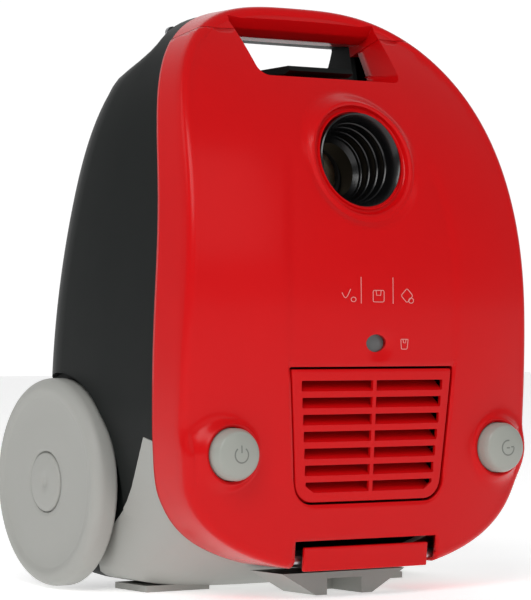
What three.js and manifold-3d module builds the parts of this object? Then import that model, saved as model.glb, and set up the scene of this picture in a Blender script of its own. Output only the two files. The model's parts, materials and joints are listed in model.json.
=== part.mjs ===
// A bagged cylinder vacuum cleaner, parked upright on its rear end.
// Millimetres, +Z up. The red cover faces -Y, the running side with the wheels faces +Y.
// Inside this file y is counted from the level of the button domes; the exported group moves the
// origin to the middle of the footprint.

import * as THREE from 'three';
import { mergeVertices } from 'three/addons/utils/BufferGeometryUtils.js';
import Module from 'manifold-3d';

const wasm = await Module();
wasm.setup();

// ---------------------------------------------------------------- driving dimensions

const HALF_BODY = 128.6; // half width of the body at its widest
const WIDEST_Z = 115;
const SIDE_TAPER = 4.1e-4; // how fast the sides draw in away from the widest level
const COVER_BOTTOM = 13.5;
const COVER_TOP = 366;
const TOP_CORNER_Z = 240; // the top corners start to round here
const BOTTOM_CORNER_Z = 110;
const CENTRE_Z = 190;
const FACE_FRONT = -1.5; // the cover's foremost level, on the centre line
const FACE_LEVEL_Z = 180; // and its height
const CROWN = 15; // how far the face falls back from the centre line to the sides
const BAND_DEPTH = 50; // level of the cover's rear edge at mid height
const CREASE_RADIUS = 6;
const COVER_WALL = 2.6;
const TUB_WALL = 2.8;
const TUB_INSET = 1; // the tub stands this far inside the cover's outline
const SEAM_GAP = 0.5;
const GAP = 0.4; // clearance between pieces that meet
const FINEST = 0.01; // detail that is merged away
const BELLY_DEPTH = 208;
const BELLY_Z = 95;
const BELLY_CURVE = 7.5e-4;
const RIM_DEPTH = 25; // depth of the dark arch behind the handle
const BELLY_CORNER = 45;
const FLARE_Y = 108; // behind this level the bottom is at its lowest
const BODY_BOTTOM = 0.8;
const LOW_CORNER_Z = 24;
const LOW_TAPER = 11; // how far the body draws in at the floor, beside the wheels

const WHEEL = { x: 137.5, y: 166.1, z: 66.8, radius: 65.2, width: 16.5, bore: 5.3 };
const ARCH = { x: 118.4, radius: 68.5 };
const AXLE = { radius: 5, collar: { inner: 108, outer: 112.5, radius: 8 } };
const BUTTON = { x: 99.2, z: 88.7, bore: 16, radius: 15.5, top: -3, rim: 7, rodEnd: 72 };
const SOCKET = { y: 14.8, z: 267.5, tilt: THREE.MathUtils.degToRad(8), bore: 28.2, rim: 36, length: 50 };
const HAND = { bottom: 317.7, half: 53.1, topHalf: 56.5 };
const HINGE = { y: 19, z: 24, pin: 3 };
const CUTOUT = { half: 52.7, top: 35.4 };
const BRACKET = { half: 44, front: 14.6, joint: 40, back: 73.6, bottom: 19, top: 29.5 };
const TAB = { half: 46, top: 31.4, bottom: 17 };
const GRILLE = { topHalf: 59.6, bottomHalf: 53.2, top: 138.5, bottom: 58.5, corner: 12, skin: 3 };
const SLOT = { count: 7, pitch: 10.15, first: 128.4, height: 6, topHalf: 52, draw: 0.9, rib: 1 };
const EYE = { z: 154, halfX: 5.5, halfZ: 4.5 };
const DECK = { front: 74, back: 76.5, bottom: 26, top: 164.6 };
const BULKHEAD = { bottom: 165, top: 168 };
const MOTOR = { x: -46, y: 130, fan: 50, can: 40, fanBottom: 120, fanTop: 158, canBottom: 56, canTop: 117 };
const REEL = { x: 62, z: 92, radius: 50, hub: 24, front: 92, back: 134, bore: 6.3 };
const BRAKE = { x: 99.2, y: 79, z: 150 };
const LATCH = { y: 96, z: 323, half: 24, rib: 307.3, nose: 14.4, hold: 1.7 }; // the nose holds behind the rib
const CATCH = { front: 103.5, back: 107, top: 320 };
const CASTER = { z: 272, trail: 8, radius: 15.5, y: 215.4, width: 13 };
const PARKING = { front: 34, back: 108, topHalf: 46, bottomHalf: 21, top: 14, slotHalf: 13, slotTop: 10 };
const BAG = { y: 120, z: 240, halfX: 84, halfY: 44, halfZ: 56, squareness: 0.55, mouth: 22, mouthZ: 262 };
const SPRING = { radius: 8, wire: 0.8, turns: 4, front: 17, back: 36 };
const LID_PLATE = { half: 100, front: 44, back: 46.5, bottom: 172, top: 298 };
const BACK_FILTER = { half: 50, front: 17.8, back: 25, bottom: 66, top: 132 };
const OUTLET = { x: 30, y: 128, radius: 9 };
const FOOT = { inner: 52, outer: 98, front: 106, back: 146, top: 4 };
const DEPTH_MIDDLE = 114.15; // half way from the button domes to the back of the wheels

// ---------------------------------------------------------------- materials

const finish = (color, roughness, metalness = 0) => new THREE.MeshStandardMaterial({ color, roughness, metalness });
const RED = finish(0xcc1f26, 0.22);
const DARK = finish(0x262a29, 0.5);
const GREY = finish(0x97978f, 0.55);
const BUTTON_GREY = finish(0x9b9e96, 0.45);
const BLACK = finish(0x141414, 0.4);
const WHITE = finish(0xe8e8e2, 0.5);
const CLEAR = finish(0x9fb0b0, 0.1);
const RUBBER = finish(0x1b1b1b, 0.85);
const STEEL = finish(0xb9bcc0, 0.35, 1);
const PAPER = finish(0xd8c9a6, 0.95);
const FOAM = finish(0x4b5563, 1);
const COPPER = finish(0xa9683c, 0.4, 1);

// ---------------------------------------------------------------- solids

function solid(geometry) {
  const bare = geometry.clone();
  bare.deleteAttribute('normal');
  bare.deleteAttribute('uv');
  const merged = mergeVertices(bare, 1e-4);
  const corners = merged.index.array;
  const triangles = [];
  for (let i = 0; i < corners.length; i += 3) {
    const [a, b, c] = corners.slice(i, i + 3);
    if (a !== b && b !== c && c !== a) triangles.push(a, b, c);
  }
  return manifoldOf(merged.attributes.position.array, triangles);
}

function manifoldOf(positions, triangles) {
  const build = (order) => new wasm.Manifold(new wasm.Mesh({
    numProp: 3,
    vertProperties: new Float32Array(positions),
    triVerts: new Uint32Array(order),
  }));
  const made = build(triangles);
  return made.volume() > 0 ? made : build([...triangles].reverse());
}

// The finished mesh of a solid, with slivers shorter than FINEST merged away.
function geometryOf(body) {
  const { vertProperties, triVerts } = body.simplify(FINEST).getMesh();
  const geometry = new THREE.BufferGeometry();
  geometry.setAttribute('position', new THREE.BufferAttribute(new Float32Array(vertProperties), 3));
  geometry.setIndex(new THREE.BufferAttribute(new Uint32Array(triVerts), 1));
  geometry.computeVertexNormals();
  return geometry;
}

const union = (...bodies) => bodies.reduce((sum, body) => sum.add(body));
const without = (body, ...cuts) => cuts.reduce((rest, cut) => rest.subtract(cut), body);
const bothSides = (make) => union(make(1), make(-1));

function block(x0, x1, y0, y1, z0, z1) {
  const geometry = new THREE.BoxGeometry(Math.abs(x1 - x0), y1 - y0, z1 - z0);
  return solid(geometry.translate((x0 + x1) / 2, (y0 + y1) / 2, (z0 + z1) / 2));
}

// Turns a geometry built along +Y so that its axis lies along X, Y or Z.
function alongAxis(geometry, axis) {
  if (axis === 'x') return geometry.rotateZ(-Math.PI / 2);
  if (axis === 'z') return geometry.rotateX(Math.PI / 2);
  return geometry;
}

function rod(axis, radius, low, high, x, y, z, sides = 18) {
  const geometry = alongAxis(new THREE.CylinderGeometry(radius, radius, high - low, sides), axis);
  const middle = (low + high) / 2;
  const place = { x: [middle, y, z], y: [x, middle, z], z: [x, y, middle] }[axis];
  return solid(geometry.translate(...place));
}

// A turned piece: profile points are [radius, level along the axis].
function turned(axis, profile, x, y, z, sides = 20) {
  const points = profile.map(([radius, level]) => new THREE.Vector2(radius, level));
  const geometry = alongAxis(new THREE.LatheGeometry(points, sides), axis);
  return solid(geometry.translate(x, y, z));
}

const ringProfile = (inner, outer, low, high) => [
  [inner, low], [outer, low], [outer, high], [inner, high], [inner, low],
];

function shapeFrom(points) {
  return new THREE.Shape(points.map(([u, v]) => new THREE.Vector2(u, v)));
}

// A shape drawn in (x, z), carried from y0 to y1.
function prismY(shape, y0, y1, curveSegments = 6) {
  const geometry = new THREE.ExtrudeGeometry(shape, { depth: y1 - y0, bevelEnabled: false, curveSegments });
  return solid(geometry.rotateX(Math.PI / 2).translate(0, y1, 0));
}

// A shape drawn in (y, z), carried from x0 to x1.
function prismX(shape, x0, x1, curveSegments = 6) {
  const geometry = new THREE.ExtrudeGeometry(shape, { depth: x1 - x0, bevelEnabled: false, curveSegments });
  const cycle = new THREE.Matrix4().makeBasis(
    new THREE.Vector3(0, 1, 0), new THREE.Vector3(0, 0, 1), new THREE.Vector3(1, 0, 0));
  return solid(geometry.applyMatrix4(cycle).translate(x0, 0, 0));
}

// A return spring wound along Y.
function coil(x, z) {
  const { radius, wire, turns, front, back } = SPRING;
  const steps = 6 * turns;
  const points = Array.from({ length: steps + 1 }, (_, i) => {
    const angle = (2 * Math.PI * i) / 6;
    const level = front + ((back - front) * i) / steps;
    return new THREE.Vector3(x + radius * Math.cos(angle), level, z + radius * Math.sin(angle));
  });
  const section = new THREE.Shape();
  section.absarc(0, 0, wire, 0, 2 * Math.PI);
  const path = new THREE.CatmullRomCurve3(points);
  return solid(new THREE.ExtrudeGeometry(section, { steps, extrudePath: path, curveSegments: 2 }));
}

// ---------------------------------------------------------------- the body's surfaces

const SIDES = 30; // points round an outline

const cornerFade = (t, power, root) => (t > 0 ? Math.max(0, 1 - t ** power) ** (1 / root) : 1);
const blend = (t) => THREE.MathUtils.smoothstep(t, 0, 1);

function halfWidth(z, bottom, power, root) {
  const side = HALF_BODY - SIDE_TAPER * (z - WIDEST_Z) ** 2;
  const top = cornerFade((z - TOP_CORNER_Z) / (COVER_TOP - TOP_CORNER_Z), 3.5, 3);
  return side * top * cornerFade((BOTTOM_CORNER_Z - z) / (BOTTOM_CORNER_Z - bottom), power, root);
}

const coverWidth = (z) => halfWidth(z, COVER_BOTTOM, 3.5, 2);

// The dark body's half width: its sides lean in near the floor, and its lower corners are tight.
function tubWidth(z) {
  const side = HALF_BODY - SIDE_TAPER * (z - WIDEST_Z) ** 2;
  const top = cornerFade((z - TOP_CORNER_Z) / (COVER_TOP - TOP_CORNER_Z), 3.5, 3);
  const low = z < BOTTOM_CORNER_Z ? LOW_TAPER * (1 - z / BOTTOM_CORNER_Z) ** 0.8 : 0;
  return (side - low) * top * cornerFade((LOW_CORNER_Z - z) / (LOW_CORNER_Z - BODY_BOTTOM), 4, 3.5);
}

// Where a ray from the centre at the given angle leaves the outline.
function edgePoint(widthAt, angle) {
  const [dx, dz] = [Math.cos(angle), Math.sin(angle)];
  let [inside, outside] = [0, 400];
  for (let i = 0; i < 30; i += 1) {
    const reach = (inside + outside) / 2;
    const z = CENTRE_Z + reach * dz;
    const within = z > BODY_BOTTOM && z < COVER_TOP && Math.abs(reach * dx) < widthAt(z);
    if (within) inside = reach; else outside = reach;
  }
  return new THREE.Vector2(inside * dx, CENTRE_Z + inside * dz);
}

function outlineRing(widthAt, inset) {
  const delta = 0.02;
  return Array.from({ length: SIDES }, (_, i) => {
    const angle = (2 * Math.PI * (i + 0.5)) / SIDES;
    const along = edgePoint(widthAt, angle + delta).sub(edgePoint(widthAt, angle - delta)).normalize();
    const inward = new THREE.Vector2(-along.y, along.x);
    return edgePoint(widthAt, angle).addScaledVector(inward, inset);
  });
}

// Rings of equal counts, closed by a fan at each end.
function ringSolid(rings) {
  const positions = [];
  const triangles = [];
  rings.flat().forEach((p) => positions.push(p.x, p.y, p.z));
  for (let r = 0; r + 1 < rings.length; r += 1) {
    for (let i = 0; i < SIDES; i += 1) {
      const [a, b] = [r * SIDES + i, r * SIDES + ((i + 1) % SIDES)];
      triangles.push(a, b, b + SIDES, a, b + SIDES, a + SIDES);
    }
  }
  [[rings[0], 0, true], [rings.at(-1), (rings.length - 1) * SIDES, false]].forEach(([ring, start, first]) => {
    const centre = ring.reduce((sum, p) => sum.add(p), new THREE.Vector3()).divideScalar(SIDES);
    const hub = positions.length / 3;
    positions.push(centre.x, centre.y, centre.z);
    for (let i = 0; i < SIDES; i += 1) {
      const [a, b] = [start + i, start + ((i + 1) % SIDES)];
      triangles.push(...(first ? [hub, b, a] : [hub, a, b]));
    }
  });
  return manifoldOf(positions, triangles);
}

const raise = (ring, level) => ring.map((p) => new THREE.Vector3(p.x, level(p), p.y));

// Rings that close in from an edge ring towards the middle of the outline.
const CENTRE = new THREE.Vector2(0, CENTRE_Z);
const towardsCentre = (ring, share) => ring.map((p) => p.clone().lerp(CENTRE, share));

function centreLevel(z) {
  const rise = z - FACE_LEVEL_Z;
  return FACE_FRONT + (rise > 0 ? 5.55e-4 * rise ** 2.3 : 0.009 * (-rise) ** 1.4);
}

const faceLevel = (x, z) => centreLevel(z) + CROWN * (Math.abs(x) / HALF_BODY) ** 2.4;

function bandRear(z) {
  if (z > FACE_LEVEL_Z) return BAND_DEPTH + 1.8e-4 * (z - FACE_LEVEL_Z) ** 2.45;
  return BAND_DEPTH + (z < 90 ? 18 * ((90 - z) / 76) ** 1.5 : 0);
}

// The cover's block, from its crowned face back to its rear edge.
function coverSolid(inset, sink, rearShift) {
  const edge = outlineRing(coverWidth, inset + CREASE_RADIUS);
  const level = (p) => faceLevel(p.x, p.y) + sink;
  const face = [0.92, 0.66, 0.38, 0.16].map((share) => raise(towardsCentre(edge, share), level));
  const crease = [0, 45, 90].map((degrees) => {
    const turn = THREE.MathUtils.degToRad(degrees);
    const ring = outlineRing(coverWidth, inset + CREASE_RADIUS * (1 - Math.sin(turn)));
    return ring.map((p, i) => new THREE.Vector3(p.x, level(edge[i]) + CREASE_RADIUS * (1 - Math.cos(turn)), p.y));
  });
  const relief = (z) => (z < 60 ? 1.2 : 0);
  const rear = raise(outlineRing(coverWidth, inset), (p) => bandRear(p.y) - relief(p.y) + rearShift);
  return ringSolid([...face, ...crease, rear]);
}

const shoulder = (z) => blend((z - 306) / 28);

function bellyLevel(z) {
  const belly = BELLY_DEPTH - BELLY_CURVE * (z - BELLY_Z) ** 2;
  return THREE.MathUtils.lerp(belly, bandRear(z) + RIM_DEPTH, shoulder(z));
}

// The dark body's block, from its front rim back to the belly, with a straight mouth ahead of the rim.
function tubSolid(inset, sink, mouth) {
  const outline = outlineRing(tubWidth, inset);
  const radius = (z) => THREE.MathUtils.lerp(BELLY_CORNER, 10, shoulder(z)) - sink;
  const rimAhead = (ahead) => raise(outlineRing(coverWidth, inset), (p) => bandRear(p.y) + SEAM_GAP - ahead);
  const rim = mouth > 0 ? [rimAhead(mouth), rimAhead(0)] : [rimAhead(0)];
  const cornerStart = (z) => bellyLevel(z) - sink - radius(z);
  const flare = raise(outline, (p) => Math.min(FLARE_Y, cornerStart(p.y) - 2));
  const corner = [0, 30, 60, 90].map((degrees) => {
    const turn = THREE.MathUtils.degToRad(degrees);
    return outline.map((p, i) => {
      const bend = radius(p.y);
      const towards = new THREE.Vector2(0, THREE.MathUtils.clamp(p.y, 120, 260)).sub(p).normalize();
      const q = p.clone().addScaledVector(towards, bend * (1 - Math.cos(turn)));
      return new THREE.Vector3(q.x, bellyLevel(q.y) - sink - bend * (1 - Math.sin(turn)), q.y);
    });
  });
  const edge = corner.at(-1).map((p) => new THREE.Vector2(p.x, p.z));
  const back = [0.08, 0.16, 0.24, 0.33, 0.6, 0.9].map((share) => (
    raise(towardsCentre(edge, share), (p) => bellyLevel(p.y) - sink)));
  return ringSolid([...rim, flare, ...corner, ...back]);
}

const COVER_OUTER = coverSolid(0, 0, 0);
const COVER_INNER = coverSolid(COVER_WALL, COVER_WALL, 30);
const TUB_OUTER = tubSolid(TUB_INSET, 0, 0);
const TUB_INNER = tubSolid(TUB_INSET + TUB_WALL, TUB_WALL, 40);
const TUB_FRONT = TUB_OUTER.translate([0, -0.3, 0]);
const TUB_CLEAR = tubSolid(TUB_INSET + TUB_WALL + GAP, TUB_WALL + GAP, 40);
const faceSkin = (front, back) => coverSolid(0, front, 0).subtract(coverSolid(-5, back, 30));

// ---------------------------------------------------------------- shared cuts

// The opening that a hand goes through, between the handle and the cover, wider by grow all round.
function handOpening(grow) {
  const side = shapeFrom([
    [-40, HAND.bottom - grow], [60, 318 - grow], [190, 330 - grow], [190, 348 + grow],
    [112, 346 + grow], [96, 346.5 + grow], [86, 350.5 + grow], [80, 358.5 + grow], [60, 400], [-40, 400],
  ]);
  const [low, high] = [HAND.half + grow, HAND.topHalf + 1.5 + grow];
  const front = shapeFrom([
    [-low + 8, HAND.bottom - grow - 1], [low - 8, HAND.bottom - grow - 1], [low - 1, HAND.bottom - grow + 4],
    [low, HAND.bottom + 12], [high, 401], [-high, 401], [-low, HAND.bottom + 12], [-low + 1, HAND.bottom - grow + 4],
  ]);
  return prismX(side, -70, 70).intersect(prismY(front, -39, 189));
}

// Everything above the seam between the handle and the cover: the seam climbs towards the front.
const aboveSeam = (shift) => prismX(shapeFrom([
  [-50, 385.5 + shift], [230, 301.5 + shift], [230, 420], [-50, 420],
]), -150, 150);

const wheelArch = (side, grow) => rod('x', ARCH.radius + grow, side > 0 ? ARCH.x - grow : -160,
  side > 0 ? 160 : -ARCH.x + grow, 0, WHEEL.y, WHEEL.z, 36);

// The part of the body that the bumper makes up: the front of the rear end and a wing up each side.
function bumperRegion(shift) {
  const shape = new THREE.Shape();
  shape.moveTo(20, -10);
  shape.lineTo(158 + shift, -10);
  shape.lineTo(152 + shift, 3.6);
  shape.lineTo(139 + shift, 16);
  shape.lineTo(127 + shift, 30);
  shape.lineTo(122 + shift, 37 + shift);
  shape.quadraticCurveTo(84 + shift, 60 + shift, 63 + shift, 98 + shift);
  shape.lineTo(20, 90 + shift);
  return prismX(shape, -150, 150, 8);
}

// A piece set on the hose socket's tilted axis; local y = 0 is the plane of the rim.
function onSocketAxis(profile, sides = 24) {
  const points = profile.map(([radius, level]) => new THREE.Vector2(radius, level));
  const geometry = new THREE.LatheGeometry(points, sides).rotateX(-SOCKET.tilt);
  return solid(geometry.translate(0, SOCKET.y, SOCKET.z));
}

// ---------------------------------------------------------------- the part

const part = new THREE.Group();
const machine = new THREE.Group();
machine.position.y = -DEPTH_MIDDLE;
part.add(machine);

function add(name, body, material, group = machine) {
  const mesh = new THREE.Mesh(geometryOf(body), material);
  mesh.name = name;
  group.add(mesh);
}

// ---------------------------------------------------------------- body shell, bumper and handle

const SCREW = { x: 66, z: 350, front: 104, head: 128.3 };
const screwHoles = (radius) => bothSides((side) => rod('y', radius, 80, 150, side * SCREW.x, 0, SCREW.z, 12));

function bodyShell() {
  const cavity = without(TUB_INNER, handOpening(TUB_WALL), wheelArch(1, TUB_WALL), wheelArch(-1, TUB_WALL));
  return without(TUB_OUTER, handOpening(0), wheelArch(1, 0), wheelArch(-1, 0), cavity);
}
const BODY_SHELL = bodyShell();

function lowerTub() {
  const catchRib = block(-20, 20, CATCH.front, CATCH.back, LATCH.rib, CATCH.top);
  const axleHoles = bothSides((side) => rod('x', AXLE.radius + 0.3, side > 0 ? 100 : -130, side > 0 ? 130 : -100,
    0, WHEEL.y, WHEEL.z));
  const casterHole = rod('y', 20.4, 150, 230, 0, 0, CASTER.z, 32);
  return without(BODY_SHELL, bumperRegion(GAP / 2), axleHoles, casterHole, screwHoles(2.3)).add(catchRib);
}
add('lower_tub', lowerTub(), DARK);

function parkingBracket() {
  const { topHalf, bottomHalf, top, front, back, slotHalf, slotTop } = PARKING;
  const tongue = prismY(shapeFrom([[-bottomHalf, 0], [bottomHalf, 0], [topHalf, top], [-topHalf, top]]), front, back);
  return tongue.subtract(block(-slotHalf, slotHalf, front - 1, 66, -1, slotTop));
}

function rearBumper() {
  const foot = (side) => block(side * FOOT.inner, side * FOOT.outer, FOOT.front, FOOT.back, 0, FOOT.top);
  const feet = without(bothSides(foot), TUB_INNER).intersect(bumperRegion(-GAP / 2));
  const shell = BODY_SHELL.intersect(bumperRegion(-GAP / 2));
  const outlet = rod('z', OUTLET.radius + 0.3, -5, 30, OUTLET.x, OUTLET.y, 0);
  return without(union(shell, feet, parkingBracket().subtract(TUB_INNER)), outlet);
}
add('rear_bumper', rearBumper(), GREY);

function carryingHandle() {
  return without(COVER_OUTER.intersect(aboveSeam(GAP / 2)), handOpening(0), TUB_FRONT, screwHoles(2.3));
}
add('carrying_handle', carryingHandle(), RED);

bothSides((side) => {
  const screw = union(
    rod('y', 2, SCREW.front, SCREW.head + 1, side * SCREW.x, 0, SCREW.z, 12),
    rod('y', 4.2, SCREW.head, SCREW.head + 2.6, side * SCREW.x, 0, SCREW.z, 16),
  );
  add(side > 0 ? 'handle_screw_right' : 'handle_screw_left', screw, STEEL);
  return screw;
});

function cordGland() {
  const { x, y, radius } = OUTLET;
  return turned('z', [[5, 1], [radius, 1], [radius, 10], [12, 10], [12, 13], [5, 13], [5, 1]], x, y, 0);
}
add('cord_gland', cordGland(), BLACK);

// ---------------------------------------------------------------- lid hinge

add('hinge_cover', faceSkin(0, 3).intersect(block(-TAB.half, TAB.half, -10, 60, TAB.bottom, TAB.top)), RED);

function hingeBracket() {
  const { half, front, joint, back, bottom, top } = BRACKET;
  const root = block(-half, half, joint - 1, back, bottom, top).intersect(TUB_CLEAR);
  const arm = block(-half, half, front, joint, bottom, top).add(root);
  const pinHole = rod('x', HINGE.pin + 0.3, -60, 60, 0, HINGE.y, HINGE.z, 16);
  return arm.subtract(pinHole);
}
add('hinge_bracket', hingeBracket(), DARK);
add('hinge_pin', rod('x', HINGE.pin, -56.4, 56.4, 0, HINGE.y, HINGE.z, 16), STEEL);

// ---------------------------------------------------------------- the cover, which is the lid

const grilleOutline = (grow) => {
  const { topHalf, bottomHalf, top, bottom, corner } = GRILLE;
  const [upper, lower, base] = [topHalf + grow, bottomHalf + grow, bottom - grow];
  const shape = new THREE.Shape();
  shape.moveTo(-upper, top + grow);
  shape.lineTo(-lower, base + corner);
  shape.quadraticCurveTo(-lower, base, -lower + corner, base);
  shape.lineTo(lower - corner, base);
  shape.quadraticCurveTo(lower, base, lower, base + corner);
  shape.lineTo(upper, top + grow);
  return shape;
};

function buttonCollar(side) {
  const { bore, rim, x, z } = BUTTON;
  const tube = [[bore, rim], [18, rim], [23, 16], [23, 20], [18.5, 22], [18.5, 40], [5, 40], [5, 38], [bore, 38]];
  return turned('y', [...tube, [bore, rim]], side * x, 0, z, 18);
}

function topCover() {
  const cavity = without(COVER_INNER, handOpening(COVER_WALL));
  const shell = without(COVER_OUTER, cavity, handOpening(0), aboveSeam(-GAP / 2));
  const buttonHoles = bothSides((side) => rod('y', 20, -20, 60, side * BUTTON.x, 0, BUTTON.z, 32));
  const socketSeat = onSocketAxis([[0, -40], [SOCKET.rim, -40], [SOCKET.rim, 17], [0, 17]]);
  const socketTube = onSocketAxis(ringProfile(SOCKET.bore, SOCKET.rim, 0, 22));
  const tray = prismY(grilleOutline(3.6), 6, 28).subtract(prismY(grilleOutline(1), 5, 29));
  const cheek = (side) => block(side * 53, side * 56, 12, 34, 16, 38)
    .intersect(COVER_OUTER);
  const pinHole = rod('x', HINGE.pin + 0.3, -57, 57, 0, HINGE.y, HINGE.z, 16);
  const eye = solid(new THREE.CylinderGeometry(1, 1, 30, 24).scale(EYE.halfX, 1, EYE.halfZ).translate(0, 0, EYE.z));
  const cutout = block(-CUTOUT.half, CUTOUT.half, -20, 90, 0, CUTOUT.top);
  const latchSlot = block(-10, 10, 84, 125, 300, 330);
  const opened = without(shell, buttonHoles, socketSeat, prismY(grilleOutline(1), -20, 40), eye, cutout, latchSlot);
  return without(union(opened, socketTube, tray, bothSides(buttonCollar), bothSides(cheek)), pinHole, TUB_FRONT);
}
add('top_cover', topCover(), RED);

function exhaustGrille() {
  const plate = faceSkin(0.6, 0.6 + GRILLE.skin).intersect(prismY(grilleOutline(0), -20, 60));
  const half = (i) => SLOT.topHalf - SLOT.draw * i;
  const slots = [-1, 1].flatMap((side) => Array.from({ length: SLOT.count }, (_, i) => {
    const z = SLOT.first - SLOT.pitch * i;
    return block(side * SLOT.rib, side * half(i), -20, 40, z - SLOT.height / 2, z + SLOT.height / 2);
  }));
  const louvres = Array.from({ length: SLOT.count }, (_, i) => {
    const blade = new THREE.BoxGeometry(2 * half(i) + 2, 9, 1.6);
    const z = SLOT.first - SLOT.pitch * i - SLOT.height / 2;
    return solid(blade.rotateX(THREE.MathUtils.degToRad(35)).translate(0, 7.5 + centreLevel(z), z + 1.2));
  });
  const spine = block(-SLOT.rib, SLOT.rib, 5, 12, 62, 136);
  const walls = without(prismY(grilleOutline(0), 3, 12), prismY(grilleOutline(-2), 2, 13));
  return union(without(plate, ...slots), walls, spine, ...louvres);
}
add('exhaust_grille', exhaustGrille(), RED);
add('exhaust_filter', block(-BACK_FILTER.half, BACK_FILTER.half, BACK_FILTER.front, BACK_FILTER.back,
  BACK_FILTER.bottom, BACK_FILTER.top), FOAM);

function hoseSocket() {
  const { bore, length } = SOCKET;
  const wall = bore - 0.4;
  const outside = [[25, 2], [wall, 2], [wall, length], [18, length]];
  const steps = [[18, 36], [21, 36], [21, 30], [22.6, 30], [22.6, 20], [24, 20], [24, 10], [25, 10], [25, 2]];
  return onSocketAxis([...outside, ...steps], 24);
}
add('hose_socket', hoseSocket(), BLACK);
add('socket_seal', onSocketAxis(ringProfile(17, 26, SOCKET.length + GAP, SOCKET.length + 4)), RUBBER);

function indicatorLens() {
  return block(-9, 9, 4, 5.4, EYE.z - 8, EYE.z + 8);
}
add('indicator_lens', indicatorLens(), CLEAR);
add('indicator_flag', union(block(-4, 4, 7, 8.4, EYE.z - 9, EYE.z + 1), block(-1.5, 1.5, 8.2, 12, EYE.z - 9, EYE.z - 6)), WHITE);
add('indicator_guide', without(block(-8, 8, 6, 14, EYE.z - 11, EYE.z + 10),
  block(-5, 5, 5, 13, EYE.z - 12, EYE.z + 11)), BLACK);

function pushButton(side) {
  const { radius, top, x, z, rodEnd } = BUTTON;
  const dome = [[0, top], [6, top + 0.4], [11, top + 1.6], [14, top + 3.4], [radius, top + 6], [radius, 15]];
  const stem = [[3.5, 15], [3.5, rodEnd], [0, rodEnd]];
  return turned('y', [...dome, ...stem], side * x, 0, z, 20);
}
add('power_button', pushButton(-1), BUTTON_GREY);
add('rewind_button', pushButton(1), BUTTON_GREY);
add('power_button_spring', coil(-BUTTON.x, BUTTON.z), STEEL);
add('rewind_button_spring', coil(BUTTON.x, BUTTON.z), STEEL);

function lidLatch() {
  const { y, z, half, rib, nose, hold } = LATCH;
  const plate = prismX(shapeFrom([[58, z], [60, z + 3], [y + 3, z + 2.5], [y + 3, z - 0.5], [64, z - 2]]), -half, half);
  const hook = prismX(shapeFrom([
    [y - 3, z], [y - 3, rib - 5], [y + nose + 2.6, rib - 5], [y + nose + 2.6, rib + hold], [y + nose, rib + hold],
    [y + nose, rib - 1.3], [y + 1, rib - 1.3], [y + 1, z]]), -9, 9);
  return plate.add(hook);
}
add('lid_latch', lidLatch(), DARK);

function innerPlate() {
  const { half, front, back, bottom, top } = LID_PLATE;
  const plate = block(-half, half, front, back, bottom, top);
  return plate.subtract(onSocketAxis([[0, -60], [29, -60], [29, 90], [0, 90]]));
}
add('lid_inner_plate', innerPlate(), DARK);

// The seal runs round the back of the inner plate, from SEAL.edge inside its rim.
const SEAL = { edge: 1, width: 5, front: LID_PLATE.back + GAP, back: 50 };

function lidSeal() {
  const frame = (inset, grow) => block(-LID_PLATE.half + inset, LID_PLATE.half - inset, SEAL.front - grow,
    SEAL.back + grow, LID_PLATE.bottom + inset, LID_PLATE.top - inset);
  return frame(SEAL.edge, 0).subtract(frame(SEAL.edge + SEAL.width, 1));
}
add('lid_seal', lidSeal(), RUBBER);

// ---------------------------------------------------------------- bag chamber

function chamberRim() {
  const plate = block(-130, 130, 51, 54, 169, 300).intersect(TUB_CLEAR);
  return plate.subtract(block(-88, 88, 50, 55, 184, 292.5));
}
add('chamber_rim', chamberRim(), DARK);

const bagMouth = rod('y', BAG.mouth, 40, 90, 0, 0, BAG.mouthZ, 32);
add('bag_holder', without(block(-50, 50, 69.4, 72, 216, 308), block(-30, 30, 69, 73, 236, 288)), GREY);
add('bag_collar', block(-42, 42, 72.4, 74.8, 222, 302).subtract(bagMouth), PAPER);

function dustBag() {
  const ball = new THREE.SphereGeometry(1, 16, 10);
  const position = ball.attributes.position;
  const bulge = (v) => Math.sign(v) * Math.abs(v) ** BAG.squareness;
  for (let i = 0; i < position.count; i += 1) {
    position.setXYZ(i, ...[position.getX(i), position.getY(i), position.getZ(i)].map(bulge));
  }
  return solid(ball.scale(BAG.halfX, BAG.halfY, BAG.halfZ).translate(0, BAG.y, BAG.z));
}
add('dust_bag', dustBag(), PAPER);

function bulkheadPlate() {
  const plate = block(-130, 130, DECK.front, 230, BULKHEAD.bottom, BULKHEAD.top).intersect(TUB_CLEAR);
  const intake = rod('z', 30, 150, 180, MOTOR.x, MOTOR.y, 0);
  const cross = union(block(MOTOR.x - 31, MOTOR.x + 31, MOTOR.y - 2, MOTOR.y + 2, BULKHEAD.bottom, BULKHEAD.top),
    block(MOTOR.x - 2, MOTOR.x + 2, MOTOR.y - 31, MOTOR.y + 31, BULKHEAD.bottom, BULKHEAD.top));
  return plate.subtract(intake).add(cross);
}
add('bulkhead', bulkheadPlate(), DARK);
add('filter_frame', without(block(-92, 0, 90, 170, 168.4, 175), block(-87, -5, 95, 165, 170.4, 176),
  block(-80, -12, 102, 158, 168, 171)), DARK);
add('motor_filter', block(-86.4, -5.6, 95.6, 164.4, 170.8, 176), FOAM);

// ---------------------------------------------------------------- motor chamber

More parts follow.
